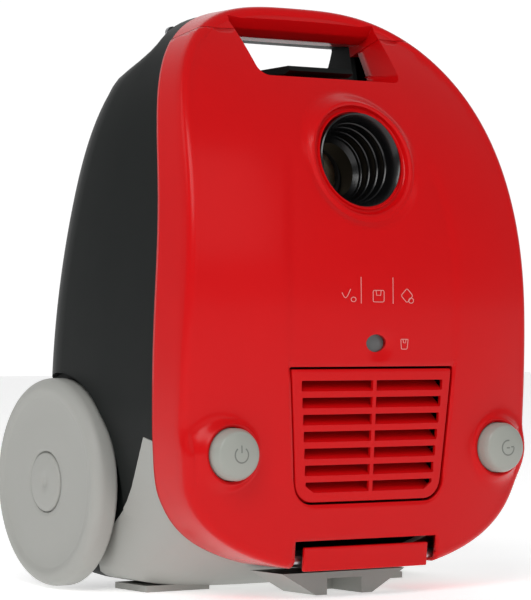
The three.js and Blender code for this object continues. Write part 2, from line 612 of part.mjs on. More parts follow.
function deckPlate() {
  const plate = block(-130, 130, DECK.front, DECK.back, DECK.bottom, DECK.top).intersect(TUB_CLEAR);
  const window = block(-44, 44, DECK.front - 1, DECK.back + 1, 70, 130);
  const bars = union(...[-22, 0, 22].map((x) => block(x - 1.5, x + 1.5, DECK.front, DECK.back, 69, 131)));
  const ports = bothSides((side) => block(side * (BUTTON.x - 7), side * (BUTTON.x + 7),
    DECK.front - 1, DECK.back + 1, BUTTON.z - 8, BUTTON.z + 8));
  const shelf = block(MOTOR.x - 30, MOTOR.x + 30, DECK.back - 1, 160, 44, 47.4);
  return union(without(plate, window, ports), bars, shelf);
}
add('deck_plate', deckPlate(), DARK);

const onMotorAxis = (profile, sides = 18) => turned('z', profile, MOTOR.x, MOTOR.y, 0, sides);

function fanHousing() {
  const { fan, fanBottom, fanTop } = MOTOR;
  return onMotorAxis([
    [20, fanBottom], [fan, fanBottom], [fan, fanTop - 4], [fan - 4, fanTop], [22, fanTop], [22, fanTop - 2],
    [fan - 5, fanTop - 2], [fan - 2, fanTop - 5], [fan - 2, fanBottom + 2], [20, fanBottom + 2], [20, fanBottom],
  ], 24);
}
add('fan_housing', fanHousing(), STEEL);

function impeller() {
  const discs = union(onMotorAxis(ringProfile(4.2, 44, 128, 129.5)), onMotorAxis(ringProfile(16, 44, 147, 148.5)),
    onMotorAxis(ringProfile(4.2, 9, 128, 150)));
  const vanes = Array.from({ length: 6 }, (_, i) => {
    const vane = new THREE.BoxGeometry(32, 1.6, 18.5).rotateZ(0.6).translate(29, 0, 138.4);
    return solid(vane.rotateZ((2 * Math.PI * i) / 6).translate(MOTOR.x, MOTOR.y, 0));
  });
  return union(discs, ...vanes).intersect(onMotorAxis([[0, 120], [44, 120], [44, 156], [0, 156]]));
}
add('impeller', impeller(), finish(0xc8c8c4, 0.4, 1));

function motorCan() {
  const { can, canBottom, canTop } = MOTOR;
  const [low, high] = [canBottom, canTop];
  const shell = onMotorAxis([
    [11.4, low], [can - 6, low], [can, low + 6], [can, high], [11.4, high], [11.4, high - 3], [can - 2, high - 3],
    [can - 2, low + 7], [can - 7, low + 2.5], [11.4, low + 2.5], [11.4, low],
  ]);
  const vents = Array.from({ length: 3 }, (_, i) => {
    const cut = new THREE.BoxGeometry(12, 100, 14).translate(0, 0, low + 14);
    return solid(cut.rotateZ((Math.PI * i) / 3).translate(MOTOR.x, MOTOR.y, 0));
  });
  return without(shell, ...vents);
}
add('motor_can', motorCan(), STEEL);
add('stator_core', onMotorAxis(ringProfile(27, 37.4, 80, 108)), COPPER);
add('armature', onMotorAxis([
  [0, 50.5], [4, 50.5], [4, 62], [12, 62], [12, 72], [7, 72], [7, 80], [26, 80], [26, 108], [7, 108], [7, 112],
  [4, 112], [4, 152], [0, 152]]), COPPER);
add('front_bearing', onMotorAxis(ringProfile(4.2, 11, 113, 119.4), 16), STEEL);
add('rear_bearing', onMotorAxis(ringProfile(4.2, 11, 53, 60), 16), STEEL);
add('front_motor_mount', onMotorAxis(ringProfile(24, 42, MOTOR.fanTop + GAP, DECK.top)), RUBBER);
add('rear_motor_mount', onMotorAxis(ringProfile(13, 24, 47.8, 55.6)), RUBBER);

// ---------------------------------------------------------------- cord reel and switch

const onReelAxis = (profile, sides = 24) => turned('y', profile, REEL.x, 0, REEL.z, sides);

function reelDrum() {
  const { radius, hub, front, back, bore } = REEL;
  return onReelAxis([
    [bore, front], [radius, front], [radius, front + 2.5], [hub, front + 2.5], [hub, back - 2.5],
    [radius, back - 2.5], [radius, back], [bore, back], [bore, front],
  ]);
}
add('reel_drum', reelDrum(), BLACK);
add('mainspring_case', onReelAxis(ringProfile(REEL.bore, 34, 81, REEL.front - GAP)), DARK);

function reelBracket() {
  const plate = block(11, 113, REEL.back + 3, REEL.back + 6, 44, 143);
  const axle = rod('y', 6, 78, REEL.back + 4, REEL.x, 0, REEL.z);
  const posts = [[24, 50], [90, 45], [24, 134], [90, 139]].map(([x, z]) => (
    rod('y', 3.5, DECK.back + GAP, REEL.back + 4, x, 0, z, 12)));
  return union(plate, axle, ...posts);
}
add('reel_bracket', reelBracket(), DARK);

function brakeLever() {
  const { x, y, z } = BRAKE;
  const arm = block(x - 2.5, x + 2.5, y - 1.5, y + 1.5, 85, z + 9);
  const foot = block(x - 2.5, x + 2.5, BUTTON.rodEnd + GAP, y, 85, 92);
  const crank = block(56, x + 2.5, y - 1.5, 120, z + 6, z + 9);
  const stub = union(block(59, 65, 117, 119.5, z - 5, z + 8), rod('y', 2, 107.6, 118, REEL.x, 0, z - 1.6, 12));
  return union(arm, foot, crank, stub);
}
add('brake_lever', brakeLever(), GREY);
add('brake_roller', turned('y', ringProfile(2.3, 6, 108, 116.6), REEL.x, 0, BRAKE.z - 1.6, 24), RUBBER);

add('switch_body', without(block(-109, -90, 80, 98, 78, 100), block(-103, -95, 79, 92, 84, 94)), BLACK);
add('switch_plunger', block(-102.5, -95.5, BUTTON.rodEnd + GAP, 87, 85, 93), WHITE);

// ---------------------------------------------------------------- wheels

function sideWheel(side) {
  const { radius, width, bore, x, y, z } = WHEEL;
  const level = (h) => side * (x - width + h);
  const profile = [
    [bore, 0], [radius - 3, 0], [radius, 3], [radius, width - 6], [radius - 2, width - 2], [radius - 6, width],
    [radius - 12, width - 1.2], [19, width - 1.2], [19, width - 4], [bore, width - 4], [bore, 0],
  ];
  return turned('x', profile.map(([r, h]) => [r, level(h)]), 0, y, z, 36);
}

for (const [name, side] of [['left', -1], ['right', 1]]) {
  add(`wheel_${name}`, sideWheel(side), GREY);
  const at = (h) => side * (WHEEL.x - WHEEL.width + h);
  const cap = [[0, at(13)], [18.5, at(13)], [18.5, at(15.5)], [17.5, at(16.4)], [3, at(16.4)], [0, at(15.2)]];
  add(`hub_cap_${name}`, turned('x', cap, 0, WHEEL.y, WHEEL.z), GREY);
  const { inner, outer, radius } = AXLE.collar;
  const axle = [[0, side * inner], [radius, side * inner], [radius, side * outer], [AXLE.radius, side * outer],
    [AXLE.radius, at(12.6)], [0, at(12.6)]];
  add(`axle_${name}`, turned('x', axle, 0, WHEEL.y, WHEEL.z), STEEL);
}

// ---------------------------------------------------------------- front caster

add('caster_housing', turned('y', [
  [6.3, 167], [23.5, 167], [23.5, 169.5], [20, 169.5], [20, 189], [18, 190], [6.3, 190], [6.3, 167]],
0, 0, CASTER.z), DARK);

function casterFork() {
  const { y, z, trail, width } = CASTER;
  const crown = union(rod('y', 6, 170, 193, 0, 0, z), rod('y', 11, 190.6, 195, 0, 0, z));
  const bridge = block(-width / 2 - 3.4, width / 2 + 3.4, 191.6, 196, z - trail - 6, z + 6);
  const arm = (side) => prismX(shapeFrom([[192, z + 6], [y, z - trail + 5], [y + 5, z - trail], [y, z - trail - 5],
    [192, z - trail - 6]]), side > 0 ? width / 2 + 0.8 : -width / 2 - 3.4, side > 0 ? width / 2 + 3.4 : -width / 2 - 0.8);
  const pinHole = rod('x', 2.3, -20, 20, 0, y, z - trail, 12);
  return union(crown, bridge, bothSides(arm)).subtract(pinHole);
}
add('caster_fork', casterFork(), GREY);
add('caster_wheel', turned('x', [
  [2.4, -CASTER.width / 2], [CASTER.radius - 2, -CASTER.width / 2], [CASTER.radius, -4], [CASTER.radius, 4],
  [CASTER.radius - 2, CASTER.width / 2], [2.4, CASTER.width / 2], [2.4, -CASTER.width / 2]],
0, CASTER.y, CASTER.z - CASTER.trail), RUBBER);
add('caster_pin', rod('x', 2, -9.8, 9.8, 0, CASTER.y, CASTER.z - CASTER.trail, 12), STEEL);

export default part;
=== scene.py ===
"""Looks of a bagged cylinder vacuum cleaner that stands on its rear end.

Lengths are in millimetres and depths count from the button domes until a mesh is built; Datum then
turns them into the frame's metres.
"""

from __future__ import annotations

import json
import logging
import math
from dataclasses import dataclass, field
from enum import Enum
from typing import Callable, Iterable, Sequence

import bmesh
import bpy
from mathutils import Matrix, Vector
from mathutils import noise
from mathutils.geometry import delaunay_2d_cdt

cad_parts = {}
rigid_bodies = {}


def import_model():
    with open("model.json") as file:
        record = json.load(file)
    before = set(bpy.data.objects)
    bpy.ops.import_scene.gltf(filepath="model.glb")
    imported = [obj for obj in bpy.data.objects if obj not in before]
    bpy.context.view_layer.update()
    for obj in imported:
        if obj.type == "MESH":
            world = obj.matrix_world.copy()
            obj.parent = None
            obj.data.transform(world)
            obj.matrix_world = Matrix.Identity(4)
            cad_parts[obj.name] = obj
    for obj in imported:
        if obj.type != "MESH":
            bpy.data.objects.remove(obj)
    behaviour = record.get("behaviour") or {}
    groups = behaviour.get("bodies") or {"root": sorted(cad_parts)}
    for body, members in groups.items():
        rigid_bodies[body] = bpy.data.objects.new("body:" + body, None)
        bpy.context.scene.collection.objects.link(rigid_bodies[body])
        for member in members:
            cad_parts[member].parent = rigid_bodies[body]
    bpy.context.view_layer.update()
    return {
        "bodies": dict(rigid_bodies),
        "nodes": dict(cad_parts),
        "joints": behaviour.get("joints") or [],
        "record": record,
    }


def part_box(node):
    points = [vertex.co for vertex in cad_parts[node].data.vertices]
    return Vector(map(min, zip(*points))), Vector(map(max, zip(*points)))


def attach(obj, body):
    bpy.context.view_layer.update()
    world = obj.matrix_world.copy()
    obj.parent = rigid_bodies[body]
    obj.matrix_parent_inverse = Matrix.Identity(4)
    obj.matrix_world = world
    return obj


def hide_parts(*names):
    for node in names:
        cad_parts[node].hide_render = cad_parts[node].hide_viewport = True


LOG = logging.getLogger("cleaner")
MM = 0.001

Point = tuple[float, float, float]
Flat = tuple[float, float]


class Body(Enum):
    """The moving bodies that pieces ride on."""

    CHASSIS = "chassis"
    LID = "lid"
    GRILLE = "grille"
    POWER = "power"
    REWIND = "rewind"
    LEFT_WHEEL = "left_wheel"
    RIGHT_WHEEL = "right_wheel"
    CASTER_TYRE = "caster_tyre"


class Slot(Enum):
    """The material slots of the record."""

    RED = "red_gloss"
    DARK = "dark_shell"
    GREY = "grey_shell"
    BUTTON = "button_grey"
    BLACK = "black_plastic"
    WHITE = "white_plastic"
    CLEAR = "clear_plastic"
    RUBBER = "rubber"
    STEEL = "steel"
    PAPER = "paper"
    FOAM = "filter_foam"
    COPPER = "copper"


# ------------------------------------------------------------------ shader building


class Value:
    """A shader socket that adds, subtracts and multiplies like a number."""

    def __init__(self, tree: Tree, socket: bpy.types.NodeSocket) -> None:
        """Wraps one output socket of a tree."""
        self.tree = tree
        self.socket = socket

    def _with(self, operation: str, first: Value | float, second: Value | float) -> Value:
        """Joins two operands by a math node.

        Args:
            operation: The math node's operation.
            first: The left operand.
            second: The right operand.

        Returns:
            The result as a value.
        """
        return self.tree.node("ShaderNodeMath", {"operation": operation}, {0: first, 1: second})

    def __add__(self, other: Value | float) -> Value:
        """Returns self + other."""
        return self._with("ADD", self, other)

    def __radd__(self, other: float) -> Value:
        """Returns other + self."""
        return self._with("ADD", other, self)

    def __sub__(self, other: Value | float) -> Value:
        """Returns self - other."""
        return self._with("SUBTRACT", self, other)

    def __rsub__(self, other: float) -> Value:
        """Returns other - self."""
        return self._with("SUBTRACT", other, self)

    def __mul__(self, other: Value | float) -> Value:
        """Returns self * other."""
        return self._with("MULTIPLY", self, other)

    def __rmul__(self, other: float) -> Value:
        """Returns other * self."""
        return self._with("MULTIPLY", other, self)


class Tree:
    """The node tree of a material or a world."""

    def __init__(self, owner: bpy.types.Material | bpy.types.World) -> None:
        """Clears the owner's tree down to its output node.

        Args:
            owner: The new material or world.
        """
        owner.use_nodes = True
        self.owner = owner
        self.nodes = owner.node_tree.nodes
        self.links = owner.node_tree.links
        self.end = next(node for node in self.nodes if node.type.startswith("OUTPUT"))
        for node in [node for node in self.nodes if node != self.end]:
            self.nodes.remove(node)

    def node(
        self,
        kind: str,
        settings: dict[str, object] | None = None,
        inputs: dict[str | int, object] | None = None,
        output: str | int = 0,
    ) -> Value:
        """Adds one node.

        Args:
            kind: The node's type.
            settings: Properties, set before the sockets.
            inputs: Socket constants, or values to link.
            output: The output socket that is returned.

        Returns:
            The chosen output as a value.
        """
        made = self.nodes.new(kind)
        for name, setting in (settings or {}).items():
            setattr(made, name, setting)
        for key, given in (inputs or {}).items():
            if isinstance(given, Value):
                self.links.new(given.socket, made.inputs[key])
            else:
                made.inputs[key].default_value = given
        return Value(self, made.outputs[output])

    def place(self) -> Value:
        """Returns the piece's own coordinates in metres."""
        return self.node("ShaderNodeTexCoord", output="Object")

    def noise(self, scale: float, detail: float = 3.0) -> Value:
        """Returns a noise factor of that scale per metre."""
        given = {"Vector": self.place(), "Scale": scale, "Detail": detail}
        return self.node("ShaderNodeTexNoise", inputs=given)

    def mix(self, factor: Value | float, first: Sequence[float], second: Sequence[float]) -> Value:
        """Blends two colours.

        Args:
            factor: The share of the second colour.
            first: Linear red, green and blue.
            second: Linear red, green and blue.

        Returns:
            The blended colour.
        """
        colours = {0: factor, 6: (*first, 1.0), 7: (*second, 1.0)}
        return self.node("ShaderNodeMix", {"data_type": "RGBA"}, colours, 2)

    def finish(self, shader: Value) -> bpy.types.Material | bpy.types.World:
        """Links the shader to the output and returns the tree's owner."""
        self.links.new(shader.socket, self.end.inputs["Surface"])
        return self.owner


@dataclass(frozen=True)
class Finish:
    """A procedural plastic, metal, rubber or paper."""

    name: str
    slot: Slot
    colour: tuple[float, float, float]
    shade: float = 0.9
    roughness: float = 0.4
    spread: float = 0.06
    metallic: float = 0.0
    coat: float = 0.0
    coat_roughness: float = 0.05
    specular: float = 0.5
    patch_scale: float = 30.0
    grain_scale: float = 900.0
    grain: float = 0.05
    grain_depth: float = 0.0002
    sheen: float = 0.0
    glow: float = 0.0

    def material(self) -> bpy.types.Material:
        """Returns the finish's material, made on first use."""
        found = bpy.data.materials.get(f"look_{self.name}")
        return found if found else self._made()

    def _made(self) -> bpy.types.Material:
        """Builds the node tree.

        Returns:
            The new material.
        """
        tree = Tree(bpy.data.materials.new(f"look_{self.name}"))
        patches = tree.noise(self.patch_scale)
        darker = tuple(channel * self.shade for channel in self.colour)
        height = tree.noise(self.grain_scale, 6.0)
        bump = tree.node(
            "ShaderNodeBump",
            inputs={"Strength": self.grain, "Distance": self.grain_depth, "Height": height},
        )
        shader = tree.node(
            "ShaderNodeBsdfPrincipled",
            inputs={
                "Base Color": tree.mix(patches, darker, self.colour),
                "Roughness": self.roughness + self.spread * (patches - 0.5),
                "Metallic": self.metallic,
                "Coat Weight": self.coat,
                "Coat Roughness": self.coat_roughness,
                "Specular IOR Level": self.specular,
                "Sheen Weight": self.sheen,
                "Emission Color": (1.0, 1.0, 1.0, 1.0),
                "Emission Strength": self.glow,
                "Normal": bump,
            },
        )
        return tree.finish(shader)


RED = Finish(
    "red_gloss", Slot.RED, (0.6, 0.003, 0.0045), shade=0.94, roughness=0.26, spread=0.05, coat=0.03,
    coat_roughness=0.08, specular=0.16, grain_scale=260, grain=0.03,
)
DARK = Finish(
    "dark_shell", Slot.DARK, (0.0045, 0.0062, 0.0058), shade=0.85, roughness=0.5, spread=0.1,
    specular=0.16, grain_scale=1500, grain=0.2,
)
GREY = Finish(
    "grey_shell", Slot.GREY, (0.37, 0.372, 0.348), shade=0.96, roughness=0.5, spread=0.06,
    grain_scale=1600, grain=0.12,
)
BUTTON = Finish(
    "button_grey", Slot.BUTTON, (0.33, 0.345, 0.31), shade=0.96, roughness=0.38, spread=0.05,
    grain_scale=1500, grain=0.06,
)
# Darker button grey for the button signs: painted shade that stands in for the shade inside engraved lines,
# since the signs are flat ribbons on the dome.
GROOVE_SHADE = Finish(
    "painted_groove_shade", Slot.BUTTON, (0.16, 0.17, 0.155), shade=0.95, roughness=0.5,
)
BLACK = Finish(
    "black_plastic", Slot.BLACK, (0.003, 0.003, 0.0032), shade=0.9, roughness=0.24, spread=0.06,
    grain=0.04,
)
WHITE = Finish(
    "white_plastic", Slot.WHITE, (0.72, 0.72, 0.69), shade=0.97, roughness=0.45,
)
PRINT = Finish(
    "pale_print", Slot.WHITE, (0.72, 0.3, 0.28), shade=0.97, roughness=0.4,
)
CLEAR = Finish(
    "clear_plastic", Slot.CLEAR, (0.13, 0.14, 0.14), shade=0.95, roughness=0.15, coat=0.4,
)
RUBBER = Finish(
    "rubber", Slot.RUBBER, (0.012, 0.012, 0.012), shade=0.9, roughness=0.75, spread=0.1,
    grain_scale=1200, grain=0.3,
)
STEEL = Finish(
    "steel", Slot.STEEL, (0.52, 0.53, 0.55), shade=0.9, roughness=0.32, spread=0.12, metallic=1.0,
    grain_scale=2200, grain=0.05,
)
PAPER = Finish(
    "paper", Slot.PAPER, (0.62, 0.5, 0.33), shade=0.88, roughness=0.85, spread=0.05, specular=0.2,
    grain_scale=1100, grain=0.5, grain_depth=0.0004, sheen=0.1,
)
FOAM = Finish(
    "filter_foam", Slot.FOAM, (0.06, 0.075, 0.1), shade=0.6, roughness=0.95, spread=0.04, specular=0.1,
    patch_scale=300, grain_scale=800, grain=0.9, grain_depth=0.0012,
)
COPPER = Finish(
    "copper", Slot.COPPER, (0.5, 0.2, 0.09), shade=0.8, roughness=0.35, spread=0.1, metallic=1.0,
    grain_scale=700, grain=0.3,
)
FINISHES = {
    finish.slot: finish
    for finish in (RED, DARK, GREY, BUTTON, BLACK, WHITE, CLEAR, RUBBER, STEEL, PAPER, FOAM, COPPER)
}


# ------------------------------------------------------------------ mesh building


def smooth(share: float) -> float:
    """Returns a smooth step of a share from 0 to 1."""
    held = min(1.0, max(0.0, share))
    return held * held * (3.0 - 2.0 * held)


def lerp(first: float, second: float, share: float) -> float:
    """Returns the value that lies that share of the way from first to second."""
    return first + (second - first) * share


def bump(distance: float, width: float) -> float:
    """Returns a rounded bump that is 1 at distance 0 and 0 from width on."""
    share = abs(distance) / width
    return (1.0 - share * share) ** 2 if share < 1.0 else 0.0


def soft_ramp(value: float) -> float:
    """Returns the larger of the value and 0, rounded off near 0."""
    return max(value, 0.0) if abs(value) > 12.0 else math.log1p(math.exp(value))


@dataclass(frozen=True)
class Datum:
    """Turns millimetres, with depths from the button domes, into the frame's metres."""

    depth_middle: float

    def at(self, point: Sequence[float]) -> Vector:
        """Returns the frame's point in metres."""
        return Vector((point[0], point[1] - self.depth_middle, point[2])) * MM

    def centre(self, node: str) -> Vector:
        """Returns the middle of a CAD node in millimetres, with its depth from the button domes."""
        low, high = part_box(node)
        return (low + high) / (2 * MM) + Vector((0, self.depth_middle, 0))


def facing_front(mesh: bpy.types.Mesh) -> bpy.types.Mesh:
    """Turns a sheet's faces so that most of them look to the front, and returns it.

    Args:
        mesh: The sheet.

    Returns:
        The same mesh.
    """
    if sum(face.normal.y * face.area for face in mesh.polygons) > 0:
        mesh.flip_normals()
    return mesh


@dataclass
class Plan:
    """Collects points and lines on a plane and triangulates them."""

    points: list[Vector] = field(default_factory=list)
    edges: list[tuple[int, int]] = field(default_factory=list)

    def line(self, line: Sequence[Flat], closed: bool = True) -> None:
        """Adds a line that the triangles keep as edges.

        Args:
            line: Its points.
            closed: Whether it is a loop.
        """
        start, count = len(self.points), len(line)
        self.points.extend(Vector(p) for p in line)
        steps = count if closed else count - 1
        self.edges.extend((start + i, start + (i + 1) % count) for i in range(steps))

    def triangles(self) -> tuple[list[Flat], list[tuple[Flat, tuple[int, ...]]]]:
        """Triangulates the plan.

        Returns:
            The points, and each triangle's middle with its point numbers.
        """
        points, _, faces, *_ = delaunay_2d_cdt(self.points, self.edges, [], 0, 1e-5)
        made = []
        for face in faces:
            middle = (sum(points[i].x for i in face) / 3, sum(points[i].y for i in face) / 3)
            made.append((middle, tuple(face)))
        return [tuple(p) for p in points], made


@dataclass
class Skin:
    """Collects the corners and faces of one piece and makes its object."""

    datum: Datum
    points: list[Point] = field(default_factory=list)
    faces: list[tuple[int, ...]] = field(default_factory=list)

    def row(self, points: Iterable[Point]) -> list[int]:
        """Adds points and returns their numbers.

        Args:
            points: The points in millimetres.

        Returns:
            Their numbers.
        """
        start = len(self.points)
        self.points.extend(tuple(p) for p in points)
        return list(range(start, len(self.points)))

    def strip(self, first: list[int], second: list[int], closed: bool = True) -> None:
        """Joins two rows of equal length by quads.

        Args:
            first: One row's point numbers.
            second: The other row's.
            closed: Whether the rows are loops.
        """
        count = len(first)
        for i in range(count if closed else count - 1):
            j = (i + 1) % count
            self.faces.append((first[i], first[j], second[j], second[i]))

    def rows(self, rows: list[list[int]], closed: bool = True) -> None:
        """Joins each row to the next one."""
        for first, second in zip(rows, rows[1:]):
            self.strip(first, second, closed)

    def cap(self, row: list[int]) -> None:
        """Closes a loop by a fan round its middle.

        Args:
            row: The loop's point numbers.
        """
        middle = sum((Vector(self.points[i]) for i in row), Vector()) / len(row)
        hub = self.row([tuple(middle)])[0]
        self.faces.extend((row[i], row[(i + 1) % len(row)], hub) for i in range(len(row)))

    def ribbon(
        self,
        path: Sequence[Flat],
        closed: bool,
        half: float,
        lifts: Flat,
        place: Callable[[float, float, float], Point],
    ) -> list[list[int]]:
        """Runs a narrow four-sided strip along a line.

        Args:
            path: The line's points (x, z).
            closed: Whether it is a loop.
            half: Half its width.
            lifts: How far its two broad sides lie off the surface.
            place: Turns x, z and a lift into a point.

        Returns:
            The strip's rows of point numbers.
        """
        rows, last = [], len(path) - 1
        for i, spot in enumerate(path):
            before = Vector(path[i - 1] if closed or i else path[0])
            after = Vector(path[(i + 1) % len(path)] if closed or i < last else path[-1])
            across = (after - before).normalized().orthogonal() * half
            row = []
            for sign, lift in ((1, lifts[0]), (1, lifts[1]), (-1, lifts[1]), (-1, lifts[0])):
                row.append(place(spot[0] + sign * across.x, spot[1] + sign * across.y, lift))
            rows.append(self.row(row))
        if closed:
            rows.append(rows[0])
        self.rows(rows)
        return rows

    def mesh(self, name: str) -> bpy.types.Mesh:
        """Makes the mesh in metres, merged and facing out.

        Args:
            name: The mesh's name.

        Returns:
            The mesh.
        """
        made = bpy.data.meshes.new(name)
        made.from_pydata([self.datum.at(p) for p in self.points], [], self.faces)
        work = bmesh.new()
        work.from_mesh(made)
        bmesh.ops.remove_doubles(work, verts=work.verts, dist=1e-6)
        bmesh.ops.recalc_face_normals(work, faces=work.faces)
        work.to_mesh(made)
        work.free()
        return made


@dataclass(frozen=True)
class Workshop:
    """Turns meshes into dressed pieces on their bodies."""

    datum: Datum

    def skin(self) -> Skin:
        """Returns an empty skin."""
        return Skin(self.datum)

    def piece(
        self,
        name: str,
        mesh: bpy.types.Mesh,
        finish: Finish,
        body: Body | str,
        nodes: Sequence[str] = (),
        sharp: float = 35.0,
    ) -> bpy.types.Object:
        """Makes a piece.

        Args:
            name: The piece's name.
            mesh: Its mesh in the frame.
            finish: Its finish.
            body: The body it rides on.
            nodes: The CAD nodes it stands for.
            sharp: Edges over this angle in degrees stay sharp.

        Returns:
            The piece's object.
        """
        mesh.shade_smooth()
        mesh.set_sharp_from_angle(angle=math.radians(sharp))
        mesh.materials.clear()
        mesh.materials.append(finish.material())
        made = bpy.data.objects.new(name, mesh)
        bpy.context.scene.collection.objects.link(made)
        bpy.context.view_layer.update()
        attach(made, body.value if isinstance(body, Body) else body)
        if nodes:
            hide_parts(*nodes)
        LOG.info("%s: %d faces on %s", name, len(mesh.polygons), body)
        return made

    def thicken(self, made: bpy.types.Object, wall: float, bevel: float = 0.0) -> None:
        """Gives a sheet its wall, inwards, and rounds its edges.

        Args:
            made: The sheet's object.
            wall: The wall in millimetres.
            bevel: The edge rounding in millimetres, if any.
        """
        solid = made.modifiers.new("wall", "SOLIDIFY")
        solid.thickness = wall * MM
        solid.offset = -1.0
        if bevel:
            edge = made.modifiers.new("edge", "BEVEL")
            edge.width = bevel * MM
            edge.segments = 3
            edge.angle_limit = math.radians(50)

    def carve(self, mesh: bpy.types.Mesh, *cuts: bpy.types.Mesh, how: str = "DIFFERENCE") -> bpy.types.Mesh:
        """Cuts, joins or intersects closed meshes.

        Args:
            mesh: The mesh that is worked on.
            cuts: The other meshes, used in turn.
            how: The boolean operation.

        Returns:
            The new mesh.
        """
        for cut in cuts:
            target = bpy.data.objects.new("carve_target", mesh)
            tool = bpy.data.objects.new("carve_tool", cut)
            for item in (target, tool):
                bpy.context.scene.collection.objects.link(item)
            step = target.modifiers.new("carve", "BOOLEAN")
            step.object = tool
            step.operation = how
            step.solver = "EXACT"
            bpy.context.view_layer.update()
            graph = bpy.context.evaluated_depsgraph_get()
            mesh = bpy.data.meshes.new_from_object(target.evaluated_get(graph), depsgraph=graph)
            for item in (target, tool):
                bpy.data.objects.remove(item)
        return mesh

    def turned(
        self,
        axis: str,
        profile: Sequence[Flat],
        centre: Sequence[float],
        sides: int = 96,
        tilt: float = 0.0,
    ) -> bpy.types.Mesh:
        """Turns a profile round an axis.

        Args:
            axis: The axis, x, y or z.
            profile: Pairs of radius and level along the axis.
            centre: The point that level 0 and the axis go through.
            sides: The number of sides.
            tilt: The angle in radians that the axis leans about X.

        Returns:
            The mesh.
        """
        skin = self.skin()
        order = {"x": (1, 2, 0), "y": (0, 2, 1), "z": (0, 1, 2)}[axis]
        lean = Matrix.Rotation(-tilt, 3, "X")
        rows = []
        for radius, level in profile:
            ring = []
            for i in range(sides if radius > 0 else 1):
                angle = 2 * math.pi * i / sides
                local = (radius * math.cos(angle), radius * math.sin(angle), level)
                spot = Vector((0.0, 0.0, 0.0))
                for source, target in enumerate(order):
                    spot[target] = local[source]
                ring.append(tuple(lean @ spot + Vector(centre)))
            rows.append(skin.row(ring))
        for first, second in zip(rows, rows[1:]):
            self._join(skin, first, second)
        return skin.mesh("turned")

    def _join(self, skin: Skin, first: list[int], second: list[int]) -> None:
        """Joins two rings of a turned piece, either of which may be a single point.

        Args:
            skin: The turned piece's skin.
            first: One ring's point numbers.
            second: The next ring's.
        """
        if len(first) > 1 and len(second) > 1:
            skin.strip(first, second)
            return
        ring, tip = (first, second[0]) if len(first) > 1 else (second, first[0])
        skin.faces.extend((ring[i], ring[(i + 1) % len(ring)], tip) for i in range(len(ring)))

    def prism(self, outline: Sequence[Flat], low: float, high: float, axis: str = "y") -> bpy.types.Mesh:
        """Carries an outline along X or Y.

        Args:
            outline: Points (x, z) for axis y, or (y, z) for axis x.
            low: The first level along the axis.
            high: The last one.
            axis: The axis, x or y.

        Returns:
            The closed mesh.
        """
        skin = self.skin()
        place = (lambda u, v, w: (u, w, v)) if axis == "y" else (lambda u, v, w: (w, u, v))
        rows = [skin.row(place(u, v, level) for u, v in outline) for level in (low, high)]
        skin.strip(rows[0], rows[1])
        skin.faces.extend(tuple(row) for row in rows)
        return skin.mesh("prism")

    def block(self, low: Sequence[float], high: Sequence[float]) -> bpy.types.Mesh:
        """Returns a box between two corners."""
        outline = [(low[0], low[2]), (high[0], low[2]), (high[0], high[2]), (low[0], high[2])]
        return self.prism(outline, low[1], high[1])


# ------------------------------------------------------------------ the body's surfaces


